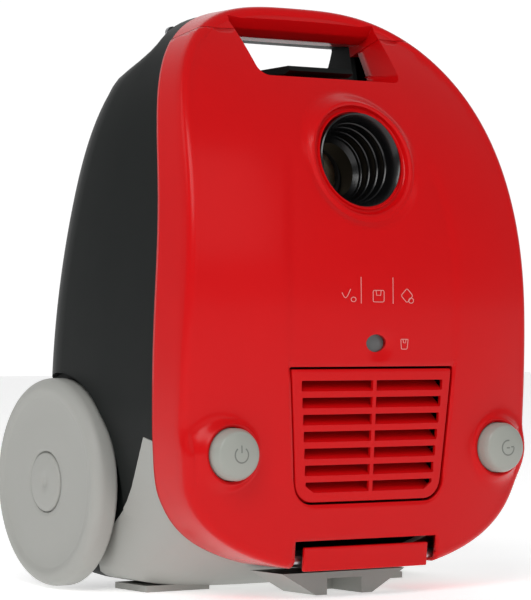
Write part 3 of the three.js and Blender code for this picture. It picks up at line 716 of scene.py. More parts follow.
@dataclass(frozen=True)
class Form:
    """The shared shape of the cover and the tub."""

    half_body: float = 128.6
    widest_z: float = 115.0
    side_taper: float = 4.1e-4
    cover_bottom: float = 13.5
    cover_top: float = 366.0
    body_bottom: float = 0.8
    top_corner: float = 240.0
    bottom_corner: float = 110.0
    centre_z: float = 190.0
    face_front: float = -1.5
    level_z: float = 180.0
    crown: float = 15.0
    band: float = 50.0
    crease: float = 6.0
    low_taper: float = 11.0
    low_corner: float = 24.0
    shoulder: float = 316.0
    shoulder_reach: float = 28.0
    belly: float = 208.0
    belly_z: float = 95.0
    belly_curve: float = 7.5e-4
    rim: float = 25.0
    belly_corner: float = 45.0
    flare: float = 108.0

    def _plain_side(self, z: float) -> float:
        """Returns the half width without any corners."""
        return self.half_body - self.side_taper * (z - self.widest_z) ** 2

    def _upper_corner(self, z: float) -> float:
        """Returns the share of the width that the rounded top leaves."""
        rise = max(0.0, (z - self.top_corner) / (self.cover_top - self.top_corner))
        return max(0.0, 1.0 - rise**3.5) ** (1 / 3)

    def cover_width(self, z: float) -> float:
        """Returns the cover's half width at a height."""
        drop = max(0.0, (self.bottom_corner - z) / (self.bottom_corner - self.cover_bottom))
        return self._plain_side(z) * self._upper_corner(z) * max(0.0, 1.0 - drop**3.5) ** 0.5

    def tub_width(self, z: float) -> float:
        """Returns the dark body's half width at a height.

        Args:
            z: The height.

        Returns:
            The half width.
        """
        low = self.low_taper * (1 - z / self.bottom_corner) ** 0.8 if 0 < z < self.bottom_corner else 0.0
        drop = max(0.0, (self.low_corner - z) / (self.low_corner - self.body_bottom))
        return (self._plain_side(z) - low) * self._upper_corner(z) * max(0.0, 1.0 - drop**4) ** (1 / 3.5)

    def face(self, x: float, z: float) -> float:
        """Returns the depth of the cover's plain face.

        Args:
            x: The place across.
            z: The height.

        Returns:
            The depth from the button domes.
        """
        rise = z - self.level_z
        middle = 5.55e-4 * rise**2.3 if rise > 0 else 0.009 * (-rise) ** 1.4
        return self.face_front + middle + self.crown * (abs(x) / self.half_body) ** 2.4

    def band_rear(self, z: float) -> float:
        """Returns the depth of the cover's rear edge.

        Args:
            z: The height.

        Returns:
            The depth from the button domes.
        """
        if z > self.level_z:
            return self.band + 1.8e-4 * (z - self.level_z) ** 2.45
        return self.band + (18 * ((90 - z) / 76) ** 1.5 if z < 90 else 0.0)

    def belly_level(self, z: float) -> float:
        """Returns the depth of the dark body's back."""
        back = self.belly - self.belly_curve * (z - self.belly_z) ** 2
        return lerp(back, self.band_rear(z) + self.rim, self.shoulder_share(z))

    def shoulder_share(self, z: float) -> float:
        """Returns how far the back has turned from the belly into the top."""
        return smooth((z - self.shoulder) / self.shoulder_reach)

    def edge(self, width: Callable[[float], float], angle: float) -> Flat:
        """Finds where a ray from the middle leaves an outline.

        Args:
            width: The half width by height.
            angle: The ray's angle in radians.

        Returns:
            The point (x, z).
        """
        across, up = math.cos(angle), math.sin(angle)
        inside, outside = 0.0, 400.0
        for _ in range(40):
            reach = (inside + outside) / 2
            z = self.centre_z + reach * up
            if 0 < z < self.cover_top and abs(reach * across) < width(z):
                inside = reach
            else:
                outside = reach
        return inside * across, self.centre_z + inside * up

    def outline(self, width: Callable[[float], float], inset: float, count: int) -> list[Flat]:
        """Returns an outline, moved inwards.

        Args:
            width: The half width by height.
            inset: How far it moves in.
            count: The number of points.

        Returns:
            Points (x, z), anticlockwise.
        """
        delta = 0.01
        made = []
        for i in range(count):
            angle = 2 * math.pi * (i + 0.5) / count
            before = Vector(self.edge(width, angle - delta))
            along = (Vector(self.edge(width, angle + delta)) - before).normalized()
            x, z = self.edge(width, angle)
            made.append((x - along.y * inset, z + along.x * inset))
        return made


@dataclass(frozen=True)
class Loop:
    """A feature's nested loops on the face, from the widest to the one that bounds its hole.

    The depth is how far the hole's edge runs back into the cover.
    """

    rings: list[list[Flat]]
    depth: float = 0.0

    def inside(self, x: float, z: float, ring: int = 0) -> bool:
        """Tells whether a point lies in one of the rings.

        Args:
            x: The place across.
            z: The height.
            ring: Which ring, from the widest.

        Returns:
            Whether the point is inside.
        """
        hit = False
        outline = self.rings[ring]
        for (x0, z0), (x1, z1) in zip(outline, outline[1:] + outline[:1]):
            if (z0 > z) != (z1 > z) and x < (x1 - x0) * (z - z0) / (z1 - z0) + x0:
                hit = not hit
        return hit


def round_loop(x: float, z: float, half_x: float, half_z: float, count: int) -> list[Flat]:
    """Returns an ellipse.

    Args:
        x: The centre's x.
        z: The centre's z.
        half_x: The half width.
        half_z: The half height.
        count: The number of points.

    Returns:
        Points (x, z).
    """
    turns = (2 * math.pi * i / count for i in range(count))
    return [(x + half_x * math.cos(t), z + half_z * math.sin(t)) for t in turns]


def rounded(corners: Sequence[Point], steps: int = 6, spacing: float = 3.0) -> list[Flat]:
    """Returns a polygon with rounded corners and evenly divided sides.

    Args:
        corners: Points (x, z, radius).
        steps: The number of steps round a corner.
        spacing: The longest side piece.

    Returns:
        Points (x, z).
    """
    made: list[Flat] = []
    count = len(corners)
    for i, (x, z, radius) in enumerate(corners):
        here = Vector((x, z))
        before = (Vector(corners[i - 1][:2]) - here).normalized()
        after = (Vector(corners[(i + 1) % count][:2]) - here).normalized()
        half = before.angle(after) / 2
        reach = radius / math.tan(half)
        start, end = here + before * reach, here + after * reach
        middle = here + (before + after).normalized() * (radius / math.sin(half))
        arc = []
        for step in range(steps + 1):
            spot = start.lerp(end, step / steps) - middle
            arc.append(middle + spot.normalized() * radius if radius > 0 else here)
        if made:
            _divide(made, arc[0], spacing)
        made.extend(tuple(p) for p in arc)
    _divide(made, Vector(made[0]), spacing)
    return made


def _divide(made: list[Flat], goal: Vector, spacing: float) -> None:
    """Adds points on the way to the goal, which isn't added itself.

    Args:
        made: The points so far.
        goal: Where the line goes.
        spacing: The longest piece.
    """
    start = Vector(made[-1])
    pieces = max(1, math.ceil((goal - start).length / spacing))
    made.extend(tuple(start.lerp(goal, i / pieces)) for i in range(1, pieces))


# ------------------------------------------------------------------ the red cover


@dataclass(frozen=True)
class Grille:
    """Sizes of the exhaust grille in the cover."""

    top: float = 138.5
    bottom: float = 58.5
    top_half: float = 59.6
    bottom_half: float = 53.2
    corner: float = 12.0
    slots: int = 7
    pitch: float = 10.15
    first: float = 128.4
    slot_height: float = 6.4
    slot_half: float = 52.5
    draw: float = 0.9
    rib: float = 1.3

    def outline(self, grow: float) -> list[Flat]:
        """Returns the grille's outline, grown all round.

        Args:
            grow: How far it grows.

        Returns:
            Points (x, z).
        """
        upper, lower = self.top_half + grow, self.bottom_half + grow
        top, base, radius = self.top + grow, self.bottom - grow, self.corner + grow
        left = [(-upper, top, 1.5), (-lower, base, radius)]
        return rounded([*left, (lower, base, radius), (upper, top, 1.5)])

    def slot(self, number: int, side: int) -> list[Flat]:
        """Returns the outline of one slot.

        Args:
            number: The slot, from the top.
            side: -1 for the left half and 1 for the right one.

        Returns:
            Points (x, z).
        """
        z = self.first - self.pitch * number
        half, rise = self.slot_half - self.draw * number, self.slot_height / 2
        chamfer = 6.0 if number == self.slots - 1 else 0.8
        inner, outer = side * self.rib, side * half
        cut = [(outer - side * chamfer, z - rise, 0.5), (outer, z - rise + chamfer * 0.7, 0.5)]
        return rounded([(inner, z - rise, 0.4), *cut, (outer, z + rise, 0.6), (inner, z + rise, 0.4)], 3)


@dataclass(frozen=True)
class Cover:
    """The red cover, which is the lid, with its inlet, grille, eye and hinge tab."""

    shop: Workshop
    form: Form
    grille: Grille = Grille()
    wall: float = 2.2
    cell: float = 3.4
    rim_points: int = 300
    socket: Point = (0.0, 14.8, 266.0)
    socket_tilt: float = math.radians(8)
    socket_bore: float = 30.0
    button_x: float = 99.2
    button_z: float = 88.7
    button_bore: float = 16.0
    collar_top: float = 7.0
    eye_z: float = 154.0
    hand_bottom: float = 317.7
    hand_half: float = 53.1
    hand_top_half: float = 58.0
    cutout_half: float = 52.7
    cutout_top: float = 35.4
    tab_half: float = 46.0
    tab_low: float = 17.0
    tab_high: float = 31.4

    def relief(self, x: float, z: float) -> float:
        """Returns the depth of the finished face.

        Args:
            x: The place across.
            z: The height.

        Returns:
            The depth from the button domes.
        """
        level = self.form.face(x, z)
        level += self._panel(x, z)
        level = self._inlet(x, z, level)
        level = self._collar(x, z, level)
        dish = 1.3 * bump(math.hypot(x - 3.5, z - self.eye_z + 2.5), 11)
        return level + dish + self._moat(x, z)

    def _panel(self, x: float, z: float) -> float:
        """Returns the step of the sunk middle panel under the inlet.

        Args:
            x: The place across.
            z: The height.

        Returns:
            The depth that the step adds.
        """
        half = 62.0 if z < 210 else 62.0 - 9.0 * ((z - 210) / 60) ** 1.5
        fade = smooth((285 - z) / 40) * smooth((z - self.grille.top + 6) / 6)
        return 0.75 * fade * smooth((half - abs(x)) / 1.6 + 0.5)

    def _moat(self, x: float, z: float) -> float:
        """Returns how far the face rounds down at the edge of the grille's recess.

        Args:
            x: The place across.
            z: The height.

        Returns:
            The depth that the rounding adds.
        """
        grille, gap, soft = self.grille, 1.4, 1.6
        near = abs(x) < grille.top_half + 6 and grille.bottom - 6 < z < grille.top + 6
        if not near:
            return 0.0
        share = (z - grille.bottom) / (grille.top - grille.bottom)
        half = lerp(grille.bottom_half, grille.top_half, share) + gap
        beyond = max(abs(x) - half, z - grille.top - gap)
        low = grille.bottom + grille.corner - z
        sideways = abs(x) - (grille.bottom_half - grille.corner)
        if low > 0:
            beyond = (math.hypot(sideways, low) if sideways > 0 else low) - grille.corner - gap
        return 0.9 * (1 - smooth(beyond / soft)) if beyond < soft else 0.0

    def _inlet(self, x: float, z: float, level: float) -> float:
        """Blends the face into the inlet's tilted ring.

        Args:
            x: The place across.
            z: The height.
            level: The depth so far.

        Returns:
            The depth with the inlet's lip, groove and inner ring.
        """
        up = (z - self.socket[2]) / math.cos(self.socket_tilt)
        reach = math.hypot(x, up)
        if reach > 44.5:
            return level
        plane = self.socket[1] + math.tan(self.socket_tilt) * (z - self.socket[2])
        plane = lerp(plane, level, 0.45)
        ring = lerp(plane, level, smooth((reach - 36) / 8))
        ring -= 1.3 * bump(reach - 36.2, 3.0)
        ring += 2.6 * smooth((34.4 - reach) / 1.4)
        return ring - 1.6 * smooth((31.6 - reach) / 0.9)

    def _collar(self, x: float, z: float, level: float) -> float:
        """Raises the conical collar round a button.

        Args:
            x: The place across.
            z: The height.
            level: The depth so far.

        Returns:
            The depth with the collar.
        """
        reach = math.hypot(abs(x) - self.button_x, z - self.button_z)
        if reach > 34:
            return level
        flat, soft = 18.2, 1.4
        cone = self.collar_top + 1.25 * max(0.0, reach - flat) + 0.9 * smooth((17.2 - reach) / 1.2)
        return level - soft * soft_ramp((level - cone) / soft) if reach > flat else cone

    def loops(self) -> list[Loop]:
        """Returns the features that have holes in the face.

        Returns:
            The inlet, the two collars, the grille's recess and the eye.
        """
        slope = math.cos(self.socket_tilt)
        inlet = [44.5, 43, 41.5, 40, 38.8, 37.6, 36.6, 35.8, 35, 34.4, 33.9, 33.4, 32.8]
        inlet += [31.9, 31.5, 31.1, 30.7, self.socket_bore + 0.3]
        collar = [22.3, 21.7, 21.0, 20.2, 19.2, 18.5, 18.0, 17.3, 16.8, 16.4, self.button_bore]
        eye = [(13, 11), (10.4, 8.4), (9, 6.8), (8.1, 5.8), (7.7, 5.4)]
        made = [Loop([round_loop(0, self.socket[2], r, r * slope, 112) for r in inlet], 22.0)]
        for side in (-1, 1):
            rings = [round_loop(side * self.button_x, self.button_z, r, r, 80) for r in collar]
            made.append(Loop(rings, 26.0))
        made.append(Loop([self.grille.outline(grow) for grow in (5.0, 3.2, 2.4, 1.8, 1.4)], 7.0))
        made.append(Loop([round_loop(0, self.eye_z, a, b, 40) for a, b in eye], 3.0))
        return made

    def hand_loop(self, grow: float) -> list[Flat]:
        """Returns the hand opening's outline on the face, which runs on past the top.

        Args:
            grow: How far it grows all round.

        Returns:
            Points (x, z).
        """
        low, high = self.hand_half + grow, self.hand_top_half + grow
        base = self.hand_bottom - grow
        return rounded([(-high, 401, 0.0), (-low, base, 7), (low, base, 7), (high, 401, 0.0)], 8)

    def _kept(self, x: float, z: float, loops: list[Loop], hand: Loop) -> bool:
        """Tells whether a spot of the face is material.

        Args:
            x: The place across.
            z: The height.
            loops: The features.
            hand: The hand opening.

        Returns:
            Whether the face is there.
        """
        if abs(x) < self.cutout_half and z < self.cutout_top:
            return False
        return not hand.inside(x, z) and not any(loop.inside(x, z, -1) for loop in loops)

    def _triangles(self, rim: list[Flat], loops: list[Loop]) -> tuple[list[Flat], list[tuple[int, ...]]]:
        """Triangulates the face with all its features.

        Args:
            rim: The face's outer loop.
            loops: The features.

        Returns:
            The points and the triangles.
        """
        plan, around, hand = Plan(), Loop([rim]), Loop([self.hand_loop(0.0)])
        for ring in [rim] + [ring for loop in loops for ring in loop.rings]:
            plan.line(ring)
        for grow in (0.0, 0.5, 1.2, 2.4):
            plan.line([p for p in self.hand_loop(grow) if p[1] < 400], closed=False)
        half, top, low = self.cutout_half, self.cutout_top, 5.0
        plan.line([(-half, low), (-half, top), (half, top), (half, low)], closed=False)
        plan.points.extend(self._inner_points(around, loops))
        points, triangles = plan.triangles()
        kept = [t for (x, z), t in triangles if around.inside(x, z) and self._kept(x, z, loops, hand)]
        return points, kept

    def _inner_points(self, around: Loop, loops: list[Loop]) -> list[Vector]:
        """Spreads points over the plain parts of the face.

        Args:
            around: The face's outer loop.
            loops: The features, which the points keep out of.

        Returns:
            The points, in staggered rows.
        """
        near_hand = Loop([self.hand_loop(4.0)])
        columns = int(self.form.half_body / self.cell) + 1
        made = []
        for i in range(-columns, columns + 1):
            for j in range(int(self.form.cover_top / self.cell) + 1):
                x = (i + (0.5 if j % 2 else 0.0)) * self.cell
                z = (j + 0.3) * self.cell
                free = not any(loop.inside(x, z) for loop in loops) and not near_hand.inside(x, z)
                if free and around.inside(x * 1.025, (z - self.form.centre_z) * 1.02 + self.form.centre_z):
                    made.append(Vector((x, z)))
        return made

    def _crease(self, edge: list[Point]) -> list[list[Point]]:
        """Rounds the face's rim into the side band.

        Args:
            edge: The face's rim.

        Returns:
            The rows of the rounding, from the face to the band.
        """
        form, made = self.form, []
        for turn in (math.radians(15 * i) for i in range(1, 7)):
            ring = form.outline(form.cover_width, form.crease * (1 - math.sin(turn)), self.rim_points)
            drop = form.crease * (1 - math.cos(turn))
            made.append([(x, edge[i][1] + drop, z) for i, (x, z) in enumerate(ring)])
        return made

    def build_shell(self) -> bpy.types.Object:
        """Builds the cover's shell.

        Returns:
            The shell's object.
        """
        form, skin = self.form, self.shop.skin()
        rim = form.outline(form.cover_width, form.crease, self.rim_points)
        loops = self.loops()
        points, triangles = self._triangles(rim, loops)
        numbers = skin.row((x, self.relief(x, z), z) for x, z in points)
        skin.faces.extend(tuple(numbers[i] for i in triangle) for triangle in triangles)
        self._band(skin, rim)
        self._hole_walls(skin, loops)
        self._hand_walls(skin)
        mesh = facing_front(self._split(skin.mesh("cover_shell"), -0.2, keep_below=True))
        made = self.shop.piece("cover_shell", mesh, RED, Body.LID, ["top_cover"], 28)
        self.shop.thicken(made, self.wall)
        return made

    def _band(self, skin: Skin, rim: list[Flat]) -> None:
        """Adds the rounded crease and the side band, leaving out the tab's cutout and the hand opening.

        Args:
            skin: The cover's skin.
            rim: The face's outer loop.
        """
        rows = [[(x, self.relief(x, z), z) for x, z in rim]]
        rows += self._crease(rows[0])
        outer = rows[-1]
        for share in (0.2, 0.4, 0.6, 0.8, 0.93, 1.0):
            rows.append([(x, lerp(y, self._rear(z), share), z) for x, y, z in outer])
        numbers = [skin.row(row) for row in rows]
        count = len(rim)
        for first, second in zip(numbers, numbers[1:]):
            for i in range(count):
                j = (i + 1) % count
                x, z = (rim[i][0] + rim[j][0]) / 2, (rim[i][1] + rim[j][1]) / 2
                tabbed = z < self.cutout_top and abs(x) < self.cutout_half
                handed = z > self.form.centre_z and abs(x) < self.hand_top_half - 3.0
                if not tabbed and not handed:
                    skin.faces.append((first[i], first[j], second[j], second[i]))

    def _rear(self, z: float) -> float:
        """Returns the depth of the shell's rear edge."""
        return self.form.band_rear(z) - 1.2 * smooth((66 - z) / 12)

    def _hole_walls(self, skin: Skin, loops: list[Loop]) -> None:
        """Carries each hole's edge into the cover.

        Args:
            skin: The cover's skin.
            loops: The features.
        """
        for loop in loops:
            edge = [(x, self.relief(x, z), z) for x, z in loop.rings[-1]]
            inner = [(x, y + loop.depth, z) for x, y, z in edge]
            skin.rows([skin.row(edge), skin.row(inner)])

    def _hand_walls(self, skin: Skin) -> None:
        """Adds the walls and the floor of the hand opening.

        Args:
            skin: The cover's skin.
        """
        line = [p for p in self.hand_loop(0.0) if p[1] < 364]
        rows = []
        for share in (0.0, 0.06, 0.25, 0.5, 0.75, 1.0):
            row = []
            for x, z in line:
                front = self.relief(x, z)
                y = lerp(front, max(front, self.form.band_rear(z)), share)
                rise = 12 / 130 * max(0.0, y - 60) if z < self.hand_bottom + 6 else 0.0
                row.append((x, y, z + rise))
            rows.append(skin.row(row))
        skin.rows(rows, closed=False)

    def _split(self, mesh: bpy.types.Mesh, shift: float, keep_below: bool) -> bpy.types.Mesh:
        """Cuts a mesh at the seam between cover and handle.

        Args:
            mesh: The mesh.
            shift: How far the cut moves up.
            keep_below: Whether the lower part stays.

        Returns:
            The same mesh, cut.
        """
        work = bmesh.new()
        work.from_mesh(mesh)
        bmesh.ops.bisect_plane(
            work,
            geom=work.verts[:] + work.edges[:] + work.faces[:],
            plane_co=self.shop.datum.at((0, 75, 348 + shift)),
            plane_no=Vector((0, 0.3, 1)).normalized(),
            clear_outer=keep_below,
            clear_inner=not keep_below,
        )
        work.to_mesh(mesh)
        work.free()
        return mesh

    def build_grille(self) -> bpy.types.Object:
        """Builds the grille panel with its slots and slanted louvres.

        Returns:
            The panel's object.
        """
        grille, skin = self.grille, self.shop.skin()
        holes = [Loop([grille.slot(i, side)]) for i in range(grille.slots) for side in (-1, 1)]
        rings = [grille.outline(-inset) for inset in (0.0, 0.3, 0.9, 2.0)]
        drops = (0.9, 0.3, 0.0, 0.0)
        plan, around = Plan(), Loop([rings[0]])
        for ring in rings + [hole.rings[0] for hole in holes]:
            plan.line(ring)
        points, triangles = plan.triangles()

        def level(x: float, z: float) -> float:
            """Returns the panel's depth, rounded down at its rim.

            Args:
                x: The place across.
                z: The height.

            Returns:
                The depth from the button domes.
            """
            near = (any(abs(x - a) + abs(z - b) < 1e-3 for a, b in ring) for ring in rings)
            worn = next((drop for drop, found in zip(drops, near) if found), 0.0)
            return self.form.face(x, z) + 1.1 + worn

        numbers = skin.row((x, level(x, z), z) for x, z in points)
        for (x, z), triangle in triangles:
            if around.inside(x, z) and not any(hole.inside(x, z) for hole in holes):
                skin.faces.append(tuple(numbers[i] for i in triangle))
        for hole in holes:
            edge = skin.row((x, self.form.face(x, z) + 1.1, z) for x, z in hole.rings[0])
            skin.strip(edge, skin.row((x, self.form.face(x, z) + 3.4, z) for x, z in hole.rings[0]))
        edge = skin.row((x, self.form.face(x, z) + 2.0, z) for x, z in rings[0])
        skin.strip(edge, skin.row((x, self.form.face(x, z) + 12, z) for x, z in rings[0]))
        for number in range(grille.slots):
            self._louvre(skin, number)
        mesh = skin.mesh("grille_panel")
        return self.shop.piece("grille_panel", mesh, RED, Body.GRILLE, ["exhaust_grille"], 30)

    def _louvre(self, skin: Skin, number: int) -> None:
        """Adds the slanted blade behind one slot.

        Args:
            skin: The panel's skin.
            number: The slot, from the top.
        """
        grille = self.grille
        z = grille.first - grille.pitch * number - grille.slot_height / 2
        half = grille.slot_half - grille.draw * number + 0.6
        section = [(1.6, -0.6), (2.4, 0.5), (10.4, 6.1), (11.2, 5.4), (10.8, 4.6), (3.0, -1.0)]
        columns = [-half + 2 * half * i / 12 for i in range(13)]
        rows = []
        for x in columns:
            rows.append(skin.row((x, self.form.face(x, z) + depth, z + rise) for depth, rise in section))
        skin.rows(rows)
        skin.faces.extend((tuple(rows[0]), tuple(rows[-1])))

    def build_socket(self) -> bpy.types.Object:
        """Builds the ribbed hose socket.

        Returns:
            The socket's object.
        """
        wall = self.socket_bore - 0.4
        profile = [(28.4, 1.2), (28.9, 0.8), (wall, 1.4), (wall, 50), (18, 50), (18, 36)]
        for step in range(4):
            radius, level = 21.5 + 1.2 * step, 33.0 - 7.0 * step
            profile += [(radius - 0.7, level + 0.5), (radius - 1.0, level - 0.4)]
            profile += [(radius - 0.7, level - 1.3), (radius, level - 1.8), (radius + 0.6, level - 5.8)]
        profile.append((28.4, 1.2))
        mesh = self.shop.turned("y", profile, self.socket, 96, self.socket_tilt)
        return self.shop.piece("hose_inlet", mesh, BLACK, Body.LID, ["hose_socket"], 40)

    def build_tab(self) -> bpy.types.Object:
        """Builds the red tab in front of the hinge.

        Returns:
            The tab's object.
        """
        skin = self.shop.skin()
        columns = [self.tab_half * (i / 16 - 1) for i in range(33)]
        rises = [self.tab_low + (self.tab_high - self.tab_low) * j / 6 for j in range(7)]
        rows = [skin.row((x, self.form.face(x, z) + 0.1, z) for x in columns) for z in rises]
        skin.rows(rows, closed=False)
        mesh = facing_front(skin.mesh("hinge_tab"))
        made = self.shop.piece("hinge_tab", mesh, RED, Body.CHASSIS, ["hinge_cover"], 50)
        self.shop.thicken(made, 2.8, 0.7)
        return made

    def build_handle(self) -> bpy.types.Object:
        """Builds the carrying handle above the seam.

        Returns:
            The handle's object.
        """
        form, skin = self.form, self.shop.skin()
        rim = form.outline(form.cover_width, form.crease, self.rim_points)
        rows = []
        for share in (0.7, 0.45, 0.2, 0.1, 0.04, 0.0):
            shrunk = [(x * (1 - share), lerp(z, form.centre_z, share)) for x, z in rim]
            rows.append([(x, form.face(x, z), z) for x, z in shrunk])
        rows += self._crease(rows[-1])
        outer = rows[-1]
        rows += [[(x, lerp(y, form.band_rear(z), s), z) for x, y, z in outer] for s in (0.33, 0.66, 0.96)]
        rows.append([(x * 0.99, form.band_rear(z), z - 0.7) for x, y, z in outer])
        numbers = [skin.row(row) for row in rows]
        skin.rows(numbers)
        skin.cap(numbers[0])
        skin.cap(numbers[-1])
        seam = self.shop.prism([(-60, 388.7), (230, 301.7), (230, 420), (-60, 420)], -150, 150, "x")
        whole = self.shop.carve(skin.mesh("handle"), seam, how="INTERSECT")
        mesh = self.shop.carve(whole, self.hand_prism(0.0))
        made = self.shop.piece("handle_bar", mesh, RED, Body.CHASSIS, ["carrying_handle"], 30)
        edge = made.modifiers.new("edge", "BEVEL")
        edge.width = 0.8 * MM
        edge.segments = 2
        edge.angle_limit = math.radians(40)
        return made

    def hand_prism(self, grow: float) -> bpy.types.Mesh:
        """Returns the solid that the hand opening takes away.

        Args:
            grow: How far it grows all round.

        Returns:
            The closed mesh.
        """
        floor = [(-40, self.hand_bottom - grow, 0), (60, 318 - grow, 3), (190, 330 - grow, 0)]
        ceiling = [(190, 348 + grow, 0), (112, 346 + grow, 6), (96, 346.5 + grow, 3)]
        ceiling += [(86, 350.5 + grow, 4), (80, 358.5 + grow, 5), (60, 400, 0), (-40, 400, 0)]
        side = rounded(floor + ceiling, 5, 400)
        low, high = self.hand_half + grow, self.hand_top_half + grow
        base = self.hand_bottom - grow - 1
        front = rounded([(-low, base, 8), (low, base, 8), (high, 401, 0), (-high, 401, 0)], 8, 400)
        long = self.shop.prism(side, -70, 70, "x")
        return self.shop.carve(long, self.shop.prism(front, -39, 189), how="INTERSECT")

    def build(self) -> None:
        """Builds every piece of the cover."""
        self.build_shell()
        self.build_grille()
        self.build_socket()
        self.build_tab()
        self.build_handle()


# ------------------------------------------------------------------ the dark body and the bumper


@dataclass(frozen=True)
class Chassis:
    """The dark body and the grey bumper round its rear end."""

    shop: Workshop
    form: Form
    cover: Cover
    wheel_x: float = 137.5
    wheel_y: float = 166.1
    wheel_z: float = 66.8
    arch_x: float = 118.4
    arch_radius: float = 68.5
    top_radius: float = 10.0
    axle_bore: float = 5.3
    caster_bore: float = 20.4
    caster_z: float = 272.0
    sides: int = 200

    def block(self, inset: float, sink: float, mouth: float = 0.0) -> bpy.types.Mesh:
        """Builds the body's block from its front rim back to the belly.

        Args:
            inset: How far its outline moves in.
            sink: How far its back moves in.
            mouth: How far a straight mouth runs ahead of the rim, if any.

        Returns:
            The closed mesh.
        """
        form, skin = self.form, self.shop.skin()

        def radius(z: float) -> float:
            """Returns the back corner's radius."""
            return lerp(form.belly_corner, self.top_radius, form.shoulder_share(z)) - sink

        outline = form.outline(form.tub_width, inset, self.sides)
        front = form.outline(form.cover_width, inset, self.sides)
        start = [form.belly_level(z) - sink - radius(z) for _, z in outline]
        flare = [(x, min(form.flare, begin - 2), z) for (x, z), begin in zip(outline, start)]
        rim = [(x, form.band_rear(z) + 0.5, z) for x, z in front]
        rows = [[(x, y - mouth, z) for x, y, z in rim], rim] if mouth else [rim]
        rows.append([tuple(Vector(a).lerp(Vector(b), 0.5)) for a, b in zip(rim, flare)])
        rows.append(flare)
        for turn in (math.radians(10 * i) for i in range(10)):
            ring = []
            for x, z in outline:
                bend = radius(z)
                aim = Vector((0, min(260.0, max(120.0, z)))) - Vector((x, z))
                spot = Vector((x, z)) + aim.normalized() * bend * (1 - math.cos(turn))
                ring.append((spot.x, form.belly_level(spot.y) - sink - bend * (1 - math.sin(turn)), spot.y))
            rows.append(ring)
        edge = rows[-1]
        for share in (0.08, 0.16, 0.24, 0.33, 0.45, 0.6, 0.75, 0.9):
            shrunk = [(x * (1 - share), lerp(z, form.centre_z, share)) for x, _, z in edge]
            rows.append([(x, form.belly_level(z) - sink, z) for x, z in shrunk])
        numbers = [skin.row(row) for row in rows]
        skin.rows(numbers)
        skin.cap(numbers[0])
        skin.cap(numbers[-1])
        return skin.mesh("block")

    def arch(self, side: int, grow: float) -> bpy.types.Mesh:
        """Returns the cylinder that a wheel's arch takes away."""
        near, far = side * (self.arch_x - grow), side * 165.0
        return self._bar("x", self.arch_radius + grow, (near, far), (0, self.wheel_y, self.wheel_z), 128)

    def shell(self) -> bpy.types.Mesh:
        """Returns the whole body's shell, with the hand opening and the wheel arches.

        Returns:
            The closed mesh.
        """
        wall = 2.8
        carve = self.shop.carve
        cavity = carve(self.block(2.2 + wall, wall, 40), self.cover.hand_prism(wall), self.arch(1, wall),
                       self.arch(-1, wall))
        return carve(self.block(1, 0), self.cover.hand_prism(0.0), self.arch(1, 0), self.arch(-1, 0), cavity)

    def bumper_region(self, shift: float) -> bpy.types.Mesh:
        """Returns the prism that splits the bumper from the dark body.

        Args:
            shift: How far the seam moves outwards.

        Returns:
            The closed mesh.
        """
        start, bend, end = (Vector((y + shift, z + shift)) for y, z in ((122, 37), (84, 60), (63, 98)))
        steps = [i / 12 for i in range(13)]
        curve = [tuple(start * (1 - t) ** 2 + bend * 2 * t * (1 - t) + end * t * t) for t in steps]
        wing = [(158 + shift, -10), (152 + shift, 3.6), (139 + shift, 16), (127 + shift, 30)]
        return self.shop.prism([(20, -10), *wing, *curve, (20, 90 + shift)], -150, 150, "x")

    def _liner(self) -> None:
        """Lines the bumper's slanted lower corners from inside, close under its skin."""
        form, skin = self.form, self.shop.skin()
        outline = form.outline(form.tub_width, 1.9, self.sides)
        front = form.outline(form.cover_width, 1.9, self.sides)
        for side in (-1, 1):
            columns = [i for i in range(self.sides) if side * outline[i][0] > 20 and outline[i][1] < 88]
            rows = []
            for share in (0.04, 0.2, 0.4, 0.6, 0.72):
                row = []
                for i in columns:
                    near = Vector((front[i][0], form.band_rear(front[i][1]) + 0.5, front[i][1]))
                    far = Vector((outline[i][0], form.flare, outline[i][1]))
                    row.append(tuple(near.lerp(far, share)))
                rows.append(skin.row(row))
            skin.rows(rows, closed=False)
        made = self.shop.piece("bumper_liner", skin.mesh("liner"), GREY, Body.CHASSIS, ["rear_bumper"], 60)
        self.shop.thicken(made, 0.6)

    def _bar(self, axis: str, radius: float, ends: Flat, centre: Point, sides: int) -> bpy.types.Mesh:
        """Returns a round bar that takes away a bore or a wheel arch."""
        profile = [(0, ends[0]), (radius, ends[0]), (radius, ends[1]), (0, ends[1])]
        return self.shop.turned(axis, profile, centre, sides)

    def build(self) -> None:
        """Builds the dark body and the bumper."""
        shell = self.shell()
        other = shell.copy()
        carve = self.shop.carve
        axle = (0, self.wheel_y, self.wheel_z)
        bores = [self._bar("x", self.axle_bore, (s * 90, s * 130), axle, 32) for s in (-1, 1)]
        caster = self._bar("y", self.caster_bore, (150, 235), (0, 0, self.caster_z), 64)
        tub = carve(shell, self.bumper_region(0.2), *bores, caster)
        self.shop.piece("tub_shell", tub, DARK, Body.CHASSIS, ["lower_tub"], 40)
        bumper = carve(other, self.bumper_region(-0.2), how="INTERSECT")
        feet = [self.shop.block((s * 75 - 23, 107, 0.0), (s * 75 + 23, 145, 4)) for s in (-1, 1)]
        tongue = self.shop.prism([(-21, 0), (21, 0), (46, 14), (-46, 14)], 34, 70)
        slot = self.shop.block((-13, 33, -1), (13, 66, 10))
        bumper = carve(bumper, carve(tongue, slot), *feet, how="UNION")
        self._liner()
        self.shop.piece("bumper_shell", bumper, GREY, Body.CHASSIS, ["rear_bumper"], 40)


# ------------------------------------------------------------------ wheels and buttons


